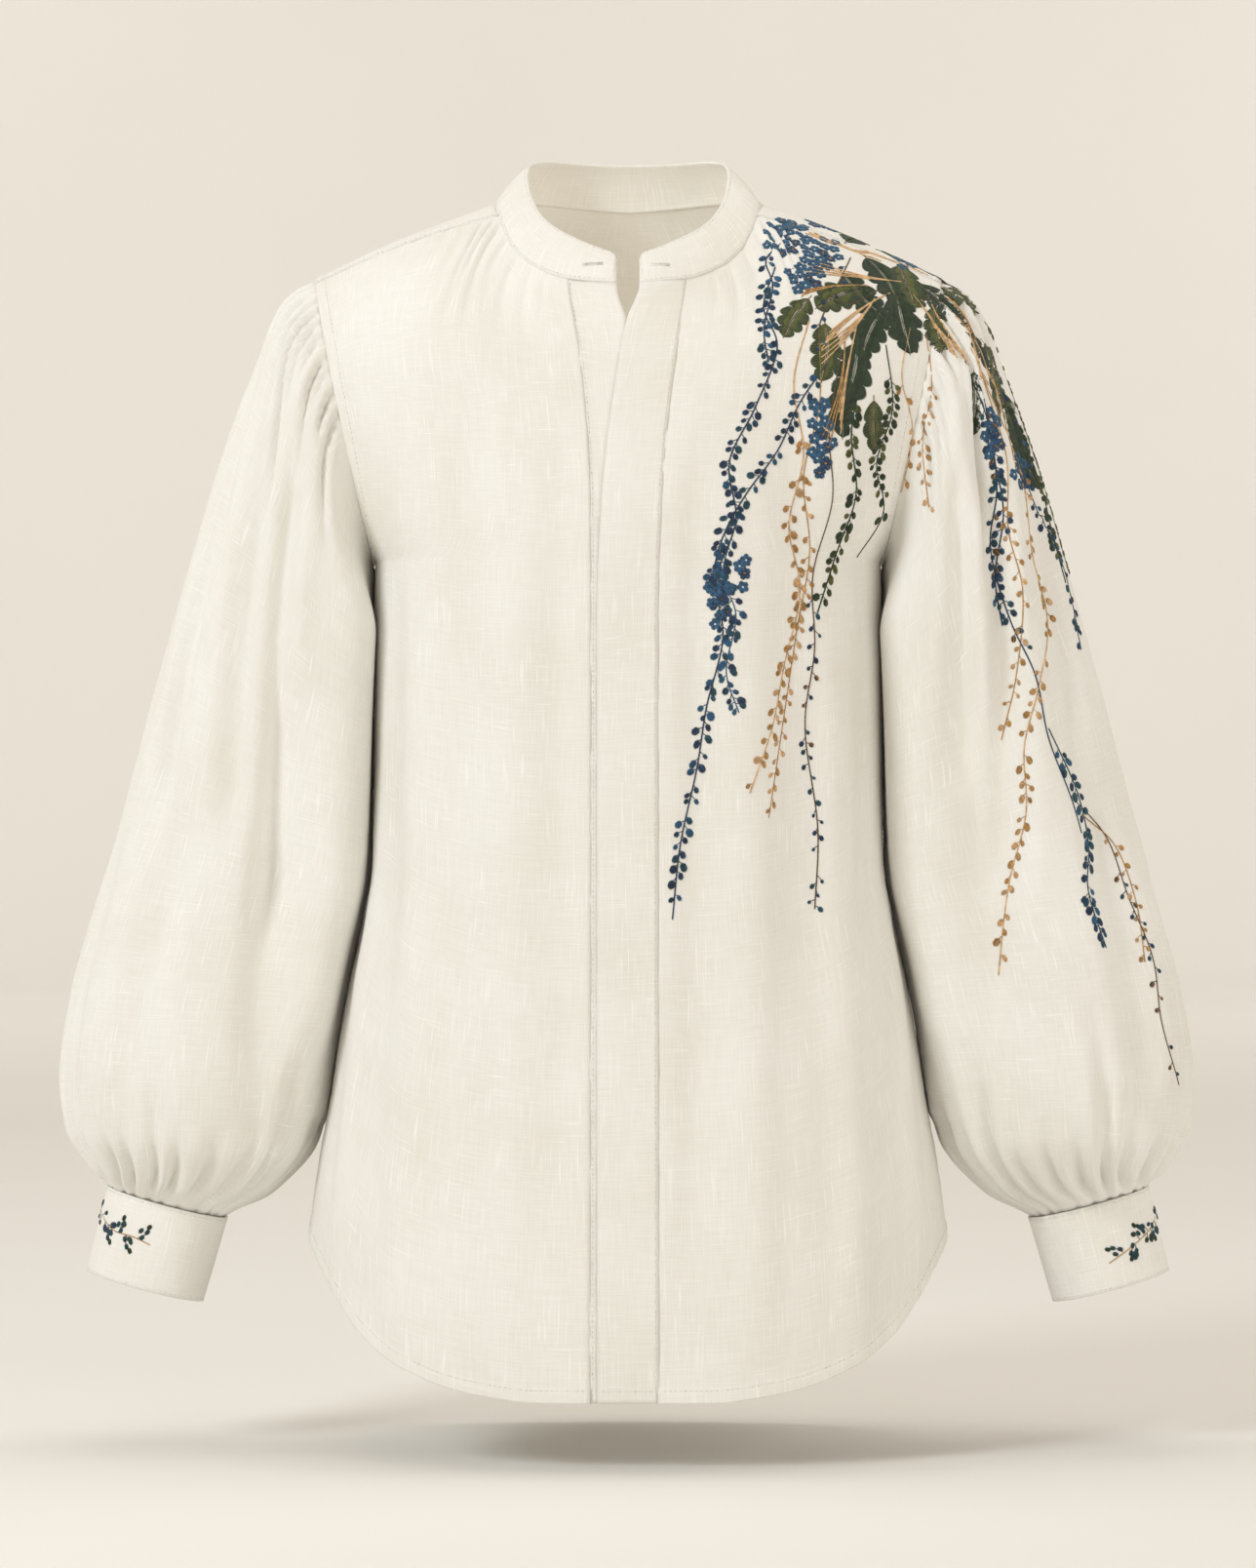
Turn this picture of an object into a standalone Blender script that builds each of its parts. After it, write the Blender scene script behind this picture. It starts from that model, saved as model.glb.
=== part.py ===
"""Linen shirt with full sleeves, filled out and worn by no one.

Frame: +X is the viewer's right and the wearer's left, -Y is the front and +Z is up.
The origin is the middle of the neck opening's base. All sizes and tables are in
millimetres and degrees, and points become metres when a mesh is made.
"""
import math
from bisect import bisect_left
from collections import namedtuple

import bmesh
import bpy
from mathutils import Vector

MM = 0.001

# Cloth and seams
CLOTH = 1.2
HEM_CLOTH = 1.9
BAND_CLOTH = 1.8
CUFF_CLOTH = 2.0
SEAM_GAP = 0.4
LINEN = (0.90, 0.87, 0.80, 1.0)
BUTTON_WHITE = (0.86, 0.83, 0.76, 1.0)

# Neck opening: an oval in plan whose height changes with the angle from the front
NECK_HALF_WIDTH = 83.0
NECK_FRONT = 88.0
NECK_BACK = 68.0
NeckLine = namedtuple("NeckLine", "angle z")
NECK_LINE = (
    NeckLine(0, -56.0),
    NeckLine(26, -51.5),
    NeckLine(43, -43.0),
    NeckLine(59, -29.0),
    NeckLine(70, -14.5),
    NeckLine(78, -5.0),
    NeckLine(90, 2.0),
    NeckLine(110, 7.0),
    NeckLine(135, 9.0),
    NeckLine(180, 6.0),
)

# Stand collar: its upper edge is a smaller oval
COLLAR_HALF_WIDTH = 63.0
COLLAR_FRONT = 62.0
COLLAR_BACK = 52.0
COLLAR_OPENING = 7.0
COLLAR_BOW = 2.0
COLLAR_CORNER = (0.80, 0.95)
COLLAR_LEVELS = (0.055, 0.35, 0.7, 1.0)
COLLAR_COLUMNS = 44
COLLAR_TOP = (
    NeckLine(0, -36.5),
    NeckLine(12, -33.5),
    NeckLine(33, -24.0),
    NeckLine(54, -12.0),
    NeckLine(75, 6.0),
    NeckLine(90, 21.0),
    NeckLine(110, 31.0),
    NeckLine(135, 34.0),
    NeckLine(180, 34.0),
)

# Body: half widths at the sides, and depths at the centre front and the centre back
Width = namedtuple("Width", "z half_width")
WIDTHS = (
    Width(-225, 159.5),
    Width(-260, 160.0),
    Width(-412, 160.5),
    Width(-450, 166.5),
    Width(-487, 175.0),
    Width(-522, 181.5),
    Width(-565, 188.0),
    Width(-600, 194.5),
    Width(-650, 201.0),
    Width(-752, 206.0),
)
Depth = namedtuple("Depth", "z front back")
DEPTHS = (
    Depth(-50, 87, 92),
    Depth(-85, 99, 106),
    Depth(-110, 107, 111),
    Depth(-150, 117, 115),
    Depth(-200, 125, 116),
    Depth(-300, 129, 108),
    Depth(-400, 127, 102),
    Depth(-500, 126, 104),
    Depth(-650, 129, 113),
    Depth(-752, 131, 118),
)
BODY_POWER = 2.3
BODY_FOLD_FADE = 90.0

# Armhole: an upright oval in a plane that leans in towards its foot
ARMHOLE_TOP = (198.0, -46.0)
ARMHOLE_FOOT = (159.5, -225.0)
ARMHOLE_DEPTH = {"front": 68.0, "back": 72.0}
ARMHOLE_MID_Z = (ARMHOLE_TOP[1] + ARMHOLE_FOOT[1]) / 2
ARMHOLE_HALF_HEIGHT = (ARMHOLE_TOP[1] - ARMHOLE_FOOT[1]) / 2
SLEEVE_GAP_TOP = 0.8
SLEEVE_GAP_FOOT = 2.3

# Yoke: its front seam leaves the neck a little forward of the shoulder
YOKE_NECK_ANGLE = 77.0
YOKE_ARM_Z = -50.0
YOKE_BACK_Z = -85.0
YOKE_TURN_ANGLE = 115.0
YOKE_ARM_COLUMNS = 7
YOKE_BACK_COLUMNS = 9
YOKE_ROWS = 6
YokeBow = namedtuple("YokeBow", "angle height lean")
YOKE_BOWS = (
    YokeBow(77, 4.0, -18),
    YokeBow(90, 4.0, 0),
    YokeBow(115, 7.0, 40),
    YokeBow(180, 9.0, 58),
)

# Front panels
CHEST_Z = -110.0
FRONT_COLUMNS = 18
FRONT_NECK_COLUMNS = 7
CHEST_ROWS = (0.0, 0.12, 0.3, 0.52, 0.76)
SIDE_ROWS = (-110, -138, -165, -190, -208, -219, -225, -236, -262, -310,
             -360, -412, -460, -505, -550, -595, -632, -650)
NECK_LEAD = (0.62, 0.78)
YOKE_LEAD = (0.88, 0.47)
CHEST_STEP = 6.0
FRONT_GATHER = 2.2
GATHER_RISE = 18.0
GATHER_FALL = 30.0
GATHER_REACH = 95.0
GATHER_SHARE = (0.55, 0.85)
GATHER_OUT = (0, -0.85, 0.3)

# Hem heights by the distance from the centre
Hem = namedtuple("Hem", "x front back")
HEM = (
    Hem(0, -743, -752),
    Hem(40, -743, -752),
    Hem(70, -740, -751),
    Hem(98, -735, -747),
    Hem(131, -723, -737),
    Hem(157, -706, -717),
    Hem(173, -688, -697),
    Hem(188, -668, -675),
    Hem(202, -650, -650),
)

# Back panel
BACK_COLUMNS = 30

# Plackets: where their edges run; the over placket is on the wearer's left
PlacketEdges = namedtuple("PlacketEdges", "z over_free over_sewn under_free under_sewn")
PLACKET_EDGES = (
    PlacketEdges(-50, 7, 35, -7, -37),
    PlacketEdges(-56, 7, 34.6, -7, -36.6),
    PlacketEdges(-79, -1, 32, -1, -33),
    PlacketEdges(-97, -4.5, 29.5, 2, -30),
    PlacketEdges(-140, -11, 24, 6.5, -25.5),
    PlacketEdges(-189, -16, 20, 11, -23),
    PlacketEdges(-264, -19, 17.5, 14, -22.5),
    PlacketEdges(-743, -19, 18, 14, -23),
)
OVER_LIFT = 0.2
UNDER_LIFT = -1.6
PLACKET_ROWS = 20

# Soft folds of the body: share runs from the centre, 0, to the side, 1
BodyFold = namedtuple("BodyFold", "share spread top foot height")
FRONT_FOLDS = (
    BodyFold(0.16, 0.10, -120, -700, -3.0),
    BodyFold(0.30, 0.09, -200, -743, 3.5),
    BodyFold(0.44, 0.10, -90, -560, -3.5),
    BodyFold(0.60, 0.09, -260, -743, 4.0),
    BodyFold(0.76, 0.09, -170, -640, -3.5),
    BodyFold(0.88, 0.08, -380, -720, 3.0),
)
BACK_FOLDS = (
    BodyFold(0.00, 0.08, -130, -620, -4.0),
    BodyFold(0.16, 0.08, -100, -752, 4.5),
    BodyFold(0.34, 0.09, -160, -700, -4.5),
    BodyFold(0.50, 0.08, -240, -752, 4.0),
    BodyFold(0.68, 0.09, -130, -600, -4.0),
    BodyFold(0.84, 0.08, -330, -720, 3.5),
)

# Sleeves: each ring spans an outer and an inner point, and bulges to the front and back
Ring = namedtuple("Ring", "along outer_x outer_z inner_x inner_z depth")
SLEEVE = (
    Ring(0, 198.0, -46.0, 159.5, -225.0, 70),
    Ring(9, 206.0, -51.0, 162.3, -228.5, 72),
    Ring(25, 219.0, -63.0, 162.8, -238.0, 75),
    Ring(65, 236.0, -101.0, 163.0, -260.0, 77),
    Ring(125, 256.5, -156.0, 163.3, -290.0, 76),
    Ring(203, 278.0, -228.0, 163.8, -330.0, 72),
    Ring(283, 299.5, -305.0, 164.5, -380.0, 69),
    Ring(375, 323.0, -394.0, 167.5, -430.0, 68),
    Ring(439, 342.0, -455.0, 177.5, -470.0, 71),
    Ring(485, 353.5, -499.0, 185.0, -510.0, 75),
    Ring(533, 359.8, -547.0, 190.5, -552.0, 78),
    Ring(567, 354.5, -582.0, 200.5, -590.0, 71),
    Ring(593, 340.0, -604.0, 224.0, -617.0, 53),
    Ring(611, 330.3, -618.5, 255.3, -638.5, 31.5),
)
SLEEVE_SEGMENTS = 48
SEAM_REACH = 40.0
CAP_FADE = 12.0
SLEEVE_FOLD_FADE = 60.0
SLEEVE_STATIONS = (0, 8, 22, 45, 80, 130, 200, 290, 380, 450, 505, 545, 575, 598, 611)
CAP_HALF_ANGLE = 95.0
CAP_SHARE = 0.75
CAP_MERGE = 160.0
Gather = namedtuple("Gather", "along cap cuff")
GATHERS = (
    Gather(0, 0.5, 0.0),
    Gather(12, 2.6, 0.0),
    Gather(30, 3.4, 0.0),
    Gather(55, 2.4, 0.0),
    Gather(95, 0.8, 0.0),
    Gather(140, 0.0, 0.0),
    Gather(470, 0.0, 0.0),
    Gather(520, 0.0, 0.9),
    Gather(560, 0.0, 2.4),
    Gather(590, 0.0, 2.8),
    Gather(604, 0.0, 1.6),
    Gather(611, 0.0, 0.5),
)
SleeveFold = namedtuple("SleeveFold", "angle drift spread top foot height")
SLEEVE_FOLDS = {
    "left": (
        SleeveFold(38, 30, 13, 40, 330, -6.0),
        SleeveFold(66, 26, 12, 70, 520, -6.5),
        SleeveFold(98, 22, 13, 60, 430, -6.0),
        SleeveFold(125, 8, 14, 150, 560, -5.0),
        SleeveFold(205, -10, 15, 90, 540, -5.0),
        SleeveFold(245, -18, 13, 60, 420, -6.0),
        SleeveFold(285, -24, 13, 50, 520, -6.5),
        SleeveFold(325, -26, 12, 40, 320, -5.5),
    ),
    "right": (
        SleeveFold(42, 34, 13, 35, 360, -6.5),
        SleeveFold(72, 24, 12, 60, 480, -6.0),
        SleeveFold(104, 16, 13, 90, 560, -6.5),
        SleeveFold(132, 6, 14, 170, 500, -4.5),
        SleeveFold(210, -12, 15, 100, 500, -5.5),
        SleeveFold(250, -16, 13, 50, 450, -6.0),
        SleeveFold(290, -26, 13, 60, 540, -6.0),
        SleeveFold(328, -24, 12, 40, 340, -5.0),
    ),
}

# Cuffs: a band that laps itself at the back
CUFF_TOP = (292.5, -630.0)
CUFF_FOOT = (307.0, -683.5)
CUFF_HALF_WIDTH = (37.6, 36.4)
CUFF_HALF_DEPTH = (31.0, 29.8)
CUFF_START = 250.0
CUFF_LAP = 25.0
CUFF_LIFT = 2.6
CUFF_COLUMNS = 44
CUFF_LEVELS = (0.0, 0.5, 1.0)
LAP_RISE = (300, 350)
BUTTON_RADIUS = 5.5
BUTTON_THICKNESS = 2.2
BUTTON_BEVEL = 0.5
BUTTON_SIDES = 20


def through(table, column, at):
    """Read a smooth curve through one column of a table, whose first column is the key."""
    rows = sorted(table)
    keys = [row[0] for row in rows]
    values = [getattr(row, column) for row in rows]
    at = min(max(at, keys[0]), keys[-1])
    upper = min(max(bisect_left(keys, at), 1), len(keys) - 1)
    lower = upper - 1
    slopes = [(values[i + 1] - values[i]) / (keys[i + 1] - keys[i]) for i in range(len(keys) - 1)]

    def tangent(index):
        if index == 0 or index == len(keys) - 1:
            return slopes[min(index, len(slopes) - 1)]
        before = slopes[index - 1]
        after = slopes[index]
        if before * after <= 0:
            return 0.0
        return 2 * before * after / (before + after)

    span = keys[upper] - keys[lower]
    t = (at - keys[lower]) / span
    return (values[lower] * (1 + 2 * t) * (1 - t) ** 2
            + tangent(lower) * span * t * (1 - t) ** 2
            + values[upper] * t * t * (3 - 2 * t)
            + tangent(upper) * span * t * t * (t - 1))


def lerp(start, end, share):
    return start + (end - start) * share


def smoothstep(start, end, at):
    t = min(max((at - start) / (end - start), 0.0), 1.0)
    return t * t * (3 - 2 * t)


def window(start, end, fade, at):
    """One between start and end, easing to zero over the fade inside each end."""
    return smoothstep(start, start + fade, at) * (1 - smoothstep(end - fade, end, at))


def bump(offset):
    """A round hump, one at zero and nothing past one either way."""
    if abs(offset) >= 1:
        return 0.0
    return (1 + math.cos(math.pi * offset)) / 2


def hermite(start, end, start_lead, end_lead, t):
    return (start * ((1 + 2 * t) * (1 - t) ** 2) + start_lead * (t * (1 - t) ** 2)
            + end * (t * t * (3 - 2 * t)) + end_lead * (t * t * (t - 1)))


# Neck, armhole and body surfaces

def neck_point(angle):
    """Point on the neck opening, by its angle from the centre front."""
    turn = math.radians(angle)
    depth = NECK_FRONT if math.cos(turn) > 0 else NECK_BACK
    folded = angle if angle <= 180 else 360 - angle
    return Vector((NECK_HALF_WIDTH * math.sin(turn), -depth * math.cos(turn),
                   through(NECK_LINE, "z", folded)))


def neck_angle(x):
    return math.degrees(math.asin(x / NECK_HALF_WIDTH))


def half_width(z):
    """Half width of the body at the side seam or the armhole."""
    if z >= ARMHOLE_FOOT[1]:
        rise = (z - ARMHOLE_FOOT[1]) / (ARMHOLE_TOP[1] - ARMHOLE_FOOT[1])
        return lerp(ARMHOLE_FOOT[0], ARMHOLE_TOP[0], rise)
    return through(WIDTHS, "half_width", z)


def armhole_depth(side, z):
    """Half depth of the armhole at a height, nothing below its foot."""
    rise = (z - ARMHOLE_MID_Z) / ARMHOLE_HALF_HEIGHT
    if abs(rise) >= 1:
        return 0.0
    return ARMHOLE_DEPTH[side] * math.sqrt(1 - rise * rise)


def armhole_point(side, z):
    sign = -1 if side == "front" else 1
    return Vector((half_width(z), sign * armhole_depth(side, z), z))


def body_fold(folds, share, z):
    height = 0.0
    for fold in folds:
        across = bump((share - fold.share) / fold.spread)
        if across:
            height += fold.height * across * window(-fold.top, -fold.foot, BODY_FOLD_FADE, -z)
    return height


def body_point(side, share, z, start_x=0.0):
    """Point on the wall of the body; share runs from start_x, 0, to the side edge, 1."""
    depth = through(DEPTHS, side, z)
    width = half_width(z)
    edge = (1 - (armhole_depth(side, z) / depth) ** BODY_POWER) ** (1 / BODY_POWER)
    last = math.asin(edge ** (BODY_POWER / 2))
    first = math.asin((start_x * edge / width) ** (BODY_POWER / 2))
    turn = lerp(first, last, share)
    across = math.sin(turn) ** (2 / BODY_POWER)
    ahead = max(math.cos(turn), 0.0) ** (2 / BODY_POWER)
    x = width * across / edge
    y = depth * ahead
    folds = FRONT_FOLDS if side == "front" else BACK_FOLDS
    out = Vector((x / (width * width), y / (depth * depth), 0)).normalized()
    fade = 1 - smoothstep(0.9, 1.0, share)
    if side == "front":
        fade *= smoothstep(0.0, 0.12, share)
    lift = body_fold(folds, share, z) * fade
    sign = -1 if side == "front" else 1
    return Vector((x + out.x * lift, sign * (y + out.y * lift), z))


def centre_front(x, z):
    """Point on the body near the centre front, easing into the neck oval at the top."""
    depth = through(DEPTHS, "front", z)
    reach = abs(x) / half_width(z)
    body = depth * (1 - reach ** BODY_POWER) ** (1 / BODY_POWER)
    neck = depth * math.sqrt(1 - (x / NECK_HALF_WIDTH) ** 2)
    ease = smoothstep(CHEST_Z, -58.0, z)
    return Vector((x, -lerp(body, neck, ease), z))


# Mesh helpers

def new_material(name, colour, roughness):
    material = bpy.data.materials.new(name)
    material.use_nodes = True
    shader = material.node_tree.nodes["Principled BSDF"]
    shader.inputs["Base Color"].default_value = colour
    shader.inputs["Roughness"].default_value = roughness
    shader.inputs["Metallic"].default_value = 0.0
    return material


def grid_object(name, rows, closed, flip):
    """An open quad mesh through rows of points in millimetres."""
    mesh = bpy.data.meshes.new(name)
    build = bmesh.new()
    verts = [[build.verts.new(point * MM) for point in row] for row in rows]
    width = len(rows[0])
    last = width if closed else width - 1
    for upper, lower in zip(verts, verts[1:]):
        for i in range(last):
            j = (i + 1) % width
            corners = (upper[i], upper[j], lower[j], lower[i])
            build.faces.new(corners[::-1] if flip else corners)
    build.to_mesh(mesh)
    build.free()
    mesh.shade_smooth()
    piece = bpy.data.objects.new(name, mesh)
    shirt.objects.link(piece)
    piece.data.materials.append(new_material(name + "_linen", LINEN, 0.9))
    return piece


def cloth(name, rows, thickness, closed=False, flip=False, edge_thickness=None):
    """A cloth wall with its plain side on the rows, thicker along the last row if asked."""
    piece = grid_object(name, rows, closed, flip)
    thickest = max(thickness, edge_thickness or 0.0)
    wall = piece.modifiers.new("wall", "SOLIDIFY")
    wall.thickness = thickest * MM
    wall.offset = 1.0
    wall.use_even_offset = False
    if edge_thickness:
        layers = piece.vertex_groups.new(name="layers")
        width = len(rows[0])
        hem_start = (len(rows) - 1) * width
        every = len(rows) * width
        layers.add(list(range(hem_start)), thickness / thickest, "REPLACE")
        layers.add(list(range(hem_start, every)), 1.0, "REPLACE")
        wall.vertex_group = layers.name
    return piece


def mirrored(rows):
    return [[Vector((-point.x, point.y, point.z)) for point in row] for row in rows]


# Front panels

def chest_top(share):
    """Top edge of a front: along the neck, then along the yoke's front seam."""
    corner = FRONT_NECK_COLUMNS / FRONT_COLUMNS
    start = neck_angle(through(PLACKET_EDGES, "over_sewn", -52.0))
    if share <= corner:
        return neck_point(lerp(start, YOKE_NECK_ANGLE, share / corner))
    return yoke_column(YOKE_NECK_ANGLE, 1, (share - corner) / (1 - corner))


def chest_lead(share):
    """Direction in which the cloth leaves the top edge of a front."""
    corner = FRONT_NECK_COLUMNS / FRONT_COLUMNS
    ease = smoothstep(corner * 0.4, corner * 1.3, share)
    out = lerp(NECK_LEAD[0], YOKE_LEAD[0], ease)
    down = lerp(NECK_LEAD[1], YOKE_LEAD[1], ease)
    side = math.sin(math.radians(lerp(25.0, 60.0, share / corner))) if share < corner else 0.25
    return Vector((out * side * (1 - ease * 0.6), -out, -down)).normalized()


def front_point(share, level, sewn_column):
    """Point on a front; level is 0 to 1 over the chest, then one row of SIDE_ROWS for each 1."""
    if level > 1:
        foot = hem_height("front", share)
        fallen = (SIDE_ROWS[int(level) - 1] - CHEST_Z) / (SIDE_ROWS[-1] - CHEST_Z)
        z = lerp(CHEST_Z, foot, fallen)
        return body_point("front", share, z, abs(through(PLACKET_EDGES, sewn_column, z)))
    if share == 0:
        z = lerp(chest_top(0).z, CHEST_Z, level)
        return centre_front(abs(through(PLACKET_EDGES, sewn_column, z)), z)
    if share == 1:
        return armhole_point("front", lerp(YOKE_ARM_Z, CHEST_Z, level))
    top = chest_top(share)
    start_x = abs(through(PLACKET_EDGES, sewn_column, CHEST_Z))
    chest = body_point("front", share, CHEST_Z, start_x)
    below = body_point("front", share, CHEST_Z - CHEST_STEP, start_x)
    reach = (chest - top).length
    lead_in = chest_lead(share) * reach
    lead_out = (below - chest).normalized() * reach
    point = hermite(top, chest, lead_in, lead_out, level)
    gather = math.cos(math.pi * share * FRONT_COLUMNS) * FRONT_GATHER
    drop = level * reach
    gather *= smoothstep(0, GATHER_RISE, drop) * (1 - smoothstep(GATHER_FALL, GATHER_REACH, drop))
    gather *= 1 - smoothstep(GATHER_SHARE[0], GATHER_SHARE[1], share)
    return point + Vector(GATHER_OUT) * gather


def hem_height(side, share):
    width = half_width(SIDE_ROWS[-1])
    across = math.sin(math.pi / 2 * share) ** (2 / BODY_POWER)
    return through(HEM, side, width * across)


def make_front(name, sewn_column, mirror):
    rows = []
    levels = list(CHEST_ROWS) + [1 + index for index in range(len(SIDE_ROWS))]
    for level in levels:
        row = []
        for column in range(FRONT_COLUMNS + 1):
            point = front_point(column / FRONT_COLUMNS, level, sewn_column)
            row.append(point + Vector((0, -SEAM_GAP / 2, 0)))
        rows.append(row)
    corner = FRONT_NECK_COLUMNS
    for column in range(corner, FRONT_COLUMNS + 1):
        rows[0][column] += (rows[1][column] - rows[0][column]).normalized() * SEAM_GAP
    if mirror:
        rows = mirrored(rows)
    cloth(name, rows, CLOTH, flip=not mirror, edge_thickness=HEM_CLOTH)


# Yoke

def yoke_outer(angle):
    """The yoke's outer edge: round the armhole, then along its back seam to the centre."""
    top_cos = (YOKE_ARM_Z - ARMHOLE_MID_Z) / ARMHOLE_HALF_HEIGHT
    back_cos = (YOKE_BACK_Z - ARMHOLE_MID_Z) / ARMHOLE_HALF_HEIGHT
    front_turn = -math.acos(top_cos)
    back_turn = math.acos(back_cos)
    if angle <= YOKE_TURN_ANGLE:
        share = (angle - YOKE_NECK_ANGLE) / (YOKE_TURN_ANGLE - YOKE_NECK_ANGLE)
        turn = lerp(front_turn, back_turn, share)
        z = ARMHOLE_MID_Z + ARMHOLE_HALF_HEIGHT * math.cos(turn)
        side = "front" if turn < 0 else "back"
        return armhole_point(side, z)
    share = (180 - angle) / (180 - YOKE_TURN_ANGLE)
    return body_point("back", share, YOKE_BACK_Z)


def yoke_column(angle, sign, share):
    """Point on the yoke's column that leaves the neck at an angle; sign is the side."""
    start = neck_point(angle)
    end = yoke_outer(angle)
    bow = through(YOKE_BOWS, "height", angle)
    lean = math.radians(through(YOKE_BOWS, "lean", angle))
    point = start.lerp(end, share)
    point += Vector((0, math.sin(lean), math.cos(lean))) * (4 * bow * share * (1 - share))
    return Vector((sign * point.x, point.y, point.z))


def yoke_angles():
    arm_step = (YOKE_TURN_ANGLE - YOKE_NECK_ANGLE) / YOKE_ARM_COLUMNS
    back_step = (180 - YOKE_TURN_ANGLE) / YOKE_BACK_COLUMNS
    arm = [YOKE_NECK_ANGLE + arm_step * i for i in range(YOKE_ARM_COLUMNS)]
    rear = [YOKE_TURN_ANGLE + back_step * i for i in range(YOKE_BACK_COLUMNS + 1)]
    return arm + rear


def make_yoke():
    angles = yoke_angles()
    shares = [row / YOKE_ROWS for row in range(YOKE_ROWS + 1)]
    rows = []
    for share in shares:
        left = [yoke_column(angle, 1, share) for angle in angles]
        right = [yoke_column(angle, -1, share) for angle in reversed(angles[:-1])]
        rows.append(left + right)
    width = len(rows[0])
    for row in rows:
        row[0] = row[0] + (row[1] - row[0]).normalized() * SEAM_GAP * 0.5
        row[-1] = row[-1] + (row[-2] - row[-1]).normalized() * SEAM_GAP * 0.5
    for column in range(YOKE_ARM_COLUMNS, width - YOKE_ARM_COLUMNS):
        rows[-1][column] += Vector((0, 0, SEAM_GAP))
    cloth("yoke", rows, CLOTH, flip=True)


# Back panel

def make_back():
    z_rows = (YOKE_BACK_Z,) + SIDE_ROWS
    rows = []
    for side_z in z_rows:
        row = []
        for column in range(BACK_COLUMNS + 1):
            place = 2 * column / BACK_COLUMNS - 1
            share = abs(place)
            foot = hem_height("back", share)
            z = lerp(YOKE_BACK_Z, foot, (side_z - YOKE_BACK_Z) / (SIDE_ROWS[-1] - YOKE_BACK_Z))
            point = body_point("back", share, z)
            row.append(Vector((math.copysign(point.x, place), point.y + SEAM_GAP / 2, z)))
        rows.append(row)
    cloth("back", rows, CLOTH, edge_thickness=HEM_CLOTH)


# Plackets

def make_placket(name, free_column, sewn_column, lift, thickness, inset):
    """A strip between its free and its sewn edge, from the neck to the hem."""
    shares = (0.0, 0.5, 1.0)
    rows = []
    for row in range(PLACKET_ROWS + 1):
        level = (row / PLACKET_ROWS) ** 1.25
        points = []
        for share in shares:
            top_x = lerp(through(PLACKET_EDGES, free_column, -50.0),
                         through(PLACKET_EDGES, sewn_column, -50.0), share)
            top_z = neck_point(neck_angle(top_x)).z
            z = lerp(top_z, HEM[0].front, level)
            free = through(PLACKET_EDGES, free_column, z)
            sewn = through(PLACKET_EDGES, sewn_column, z) - inset
            point = centre_front(lerp(free, sewn, share), z)
            points.append(point + Vector((0, -lift - SEAM_GAP / 2, 0)))
        rows.append(points)
    flip = rows[0][0].x < rows[0][-1].x
    cloth(name, rows, thickness, flip=flip)


# Collar band

def make_collar():
    start = neck_angle(COLLAR_OPENING)
    top_start = math.degrees(math.asin(COLLAR_OPENING / COLLAR_HALF_WIDTH))
    rows = [[] for level in COLLAR_LEVELS]
    for column in range(COLLAR_COLUMNS + 1):
        angle = lerp(start, 360 - start, column / COLLAR_COLUMNS)
        base = neck_point(angle)
        folded = angle if angle <= 180 else 360 - angle
        top_angle = lerp(top_start, 180, (folded - start) / (180 - start))
        turn = math.radians(top_angle)
        depth = COLLAR_FRONT if math.cos(turn) > 0 else COLLAR_BACK
        side = 1 if angle <= 180 else -1
        top = Vector((side * COLLAR_HALF_WIDTH * math.sin(turn), -depth * math.cos(turn),
                      through(COLLAR_TOP, "z", top_angle)))
        out = Vector((math.sin(math.radians(angle)), -math.cos(math.radians(angle)), 0.6)).normalized()
        from_end = min(column, COLLAR_COLUMNS - column)
        corner = COLLAR_CORNER[from_end] if from_end < len(COLLAR_CORNER) else 1.0
        for row, level in zip(rows, COLLAR_LEVELS):
            height = level * corner
            bow = out * (COLLAR_BOW * 4 * height * (1 - height))
            row.append(base.lerp(top, height) + bow)
    cloth("collar_band", rows, BAND_CLOTH)


# Sleeves

def sleeve_ring(along, turn):
    """Point on the smooth sleeve; turn is 0 at the outer side and 90 at the front."""
    outer = Vector((through(SLEEVE, "outer_x", along), 0, through(SLEEVE, "outer_z", along)))
    inner = Vector((through(SLEEVE, "inner_x", along), 0, through(SLEEVE, "inner_z", along)))
    depth = through(SLEEVE, "depth", along)
    middle = (outer + inner) / 2
    half = (outer - inner) / 2
    angle = math.radians(turn)
    if along < SEAM_REACH:
        side = "front" if math.sin(angle) >= 0 else "back"
        depth += lerp(ARMHOLE_DEPTH[side] - SLEEVE[0].depth, 0, along / SEAM_REACH)
    point = middle + half * math.cos(angle) + Vector((0, -depth * math.sin(angle), 0))
    out = (half.normalized() * math.cos(angle) + Vector((0, -math.sin(angle), 0))).normalized()
    return point, out


def sleeve_turns(along):
    """Angles of the columns: crowded over the cap at the top, even lower down."""
    cap_columns = int(SLEEVE_SEGMENTS * CAP_SHARE)
    under_columns = SLEEVE_SEGMENTS - cap_columns
    under_span = 360 - 2 * CAP_HALF_ANGLE
    cap = [-CAP_HALF_ANGLE + 2 * CAP_HALF_ANGLE * i / cap_columns for i in range(cap_columns)]
    under = [CAP_HALF_ANGLE + under_span * i / under_columns for i in range(under_columns)]
    crowded = cap + under
    half = cap_columns / 2
    even = [(i - half) * 360 / SLEEVE_SEGMENTS for i in range(SLEEVE_SEGMENTS)]
    ease = smoothstep(CAP_MERGE * 0.3, CAP_MERGE * 2, along)
    return [lerp(a, b, ease) for a, b in zip(crowded, even)]


def sleeve_fold(folds, along, turn):
    height = 0.0
    for fold in folds:
        progress = (along - fold.top) / (fold.foot - fold.top)
        if 0 < progress < 1:
            centre = fold.angle + fold.drift * progress
            away = (turn - centre + 180) % 360 - 180
            shown = window(fold.top, fold.foot, SLEEVE_FOLD_FADE, along)
            height += fold.height * bump(away / fold.spread) * shown
    return height


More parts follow.
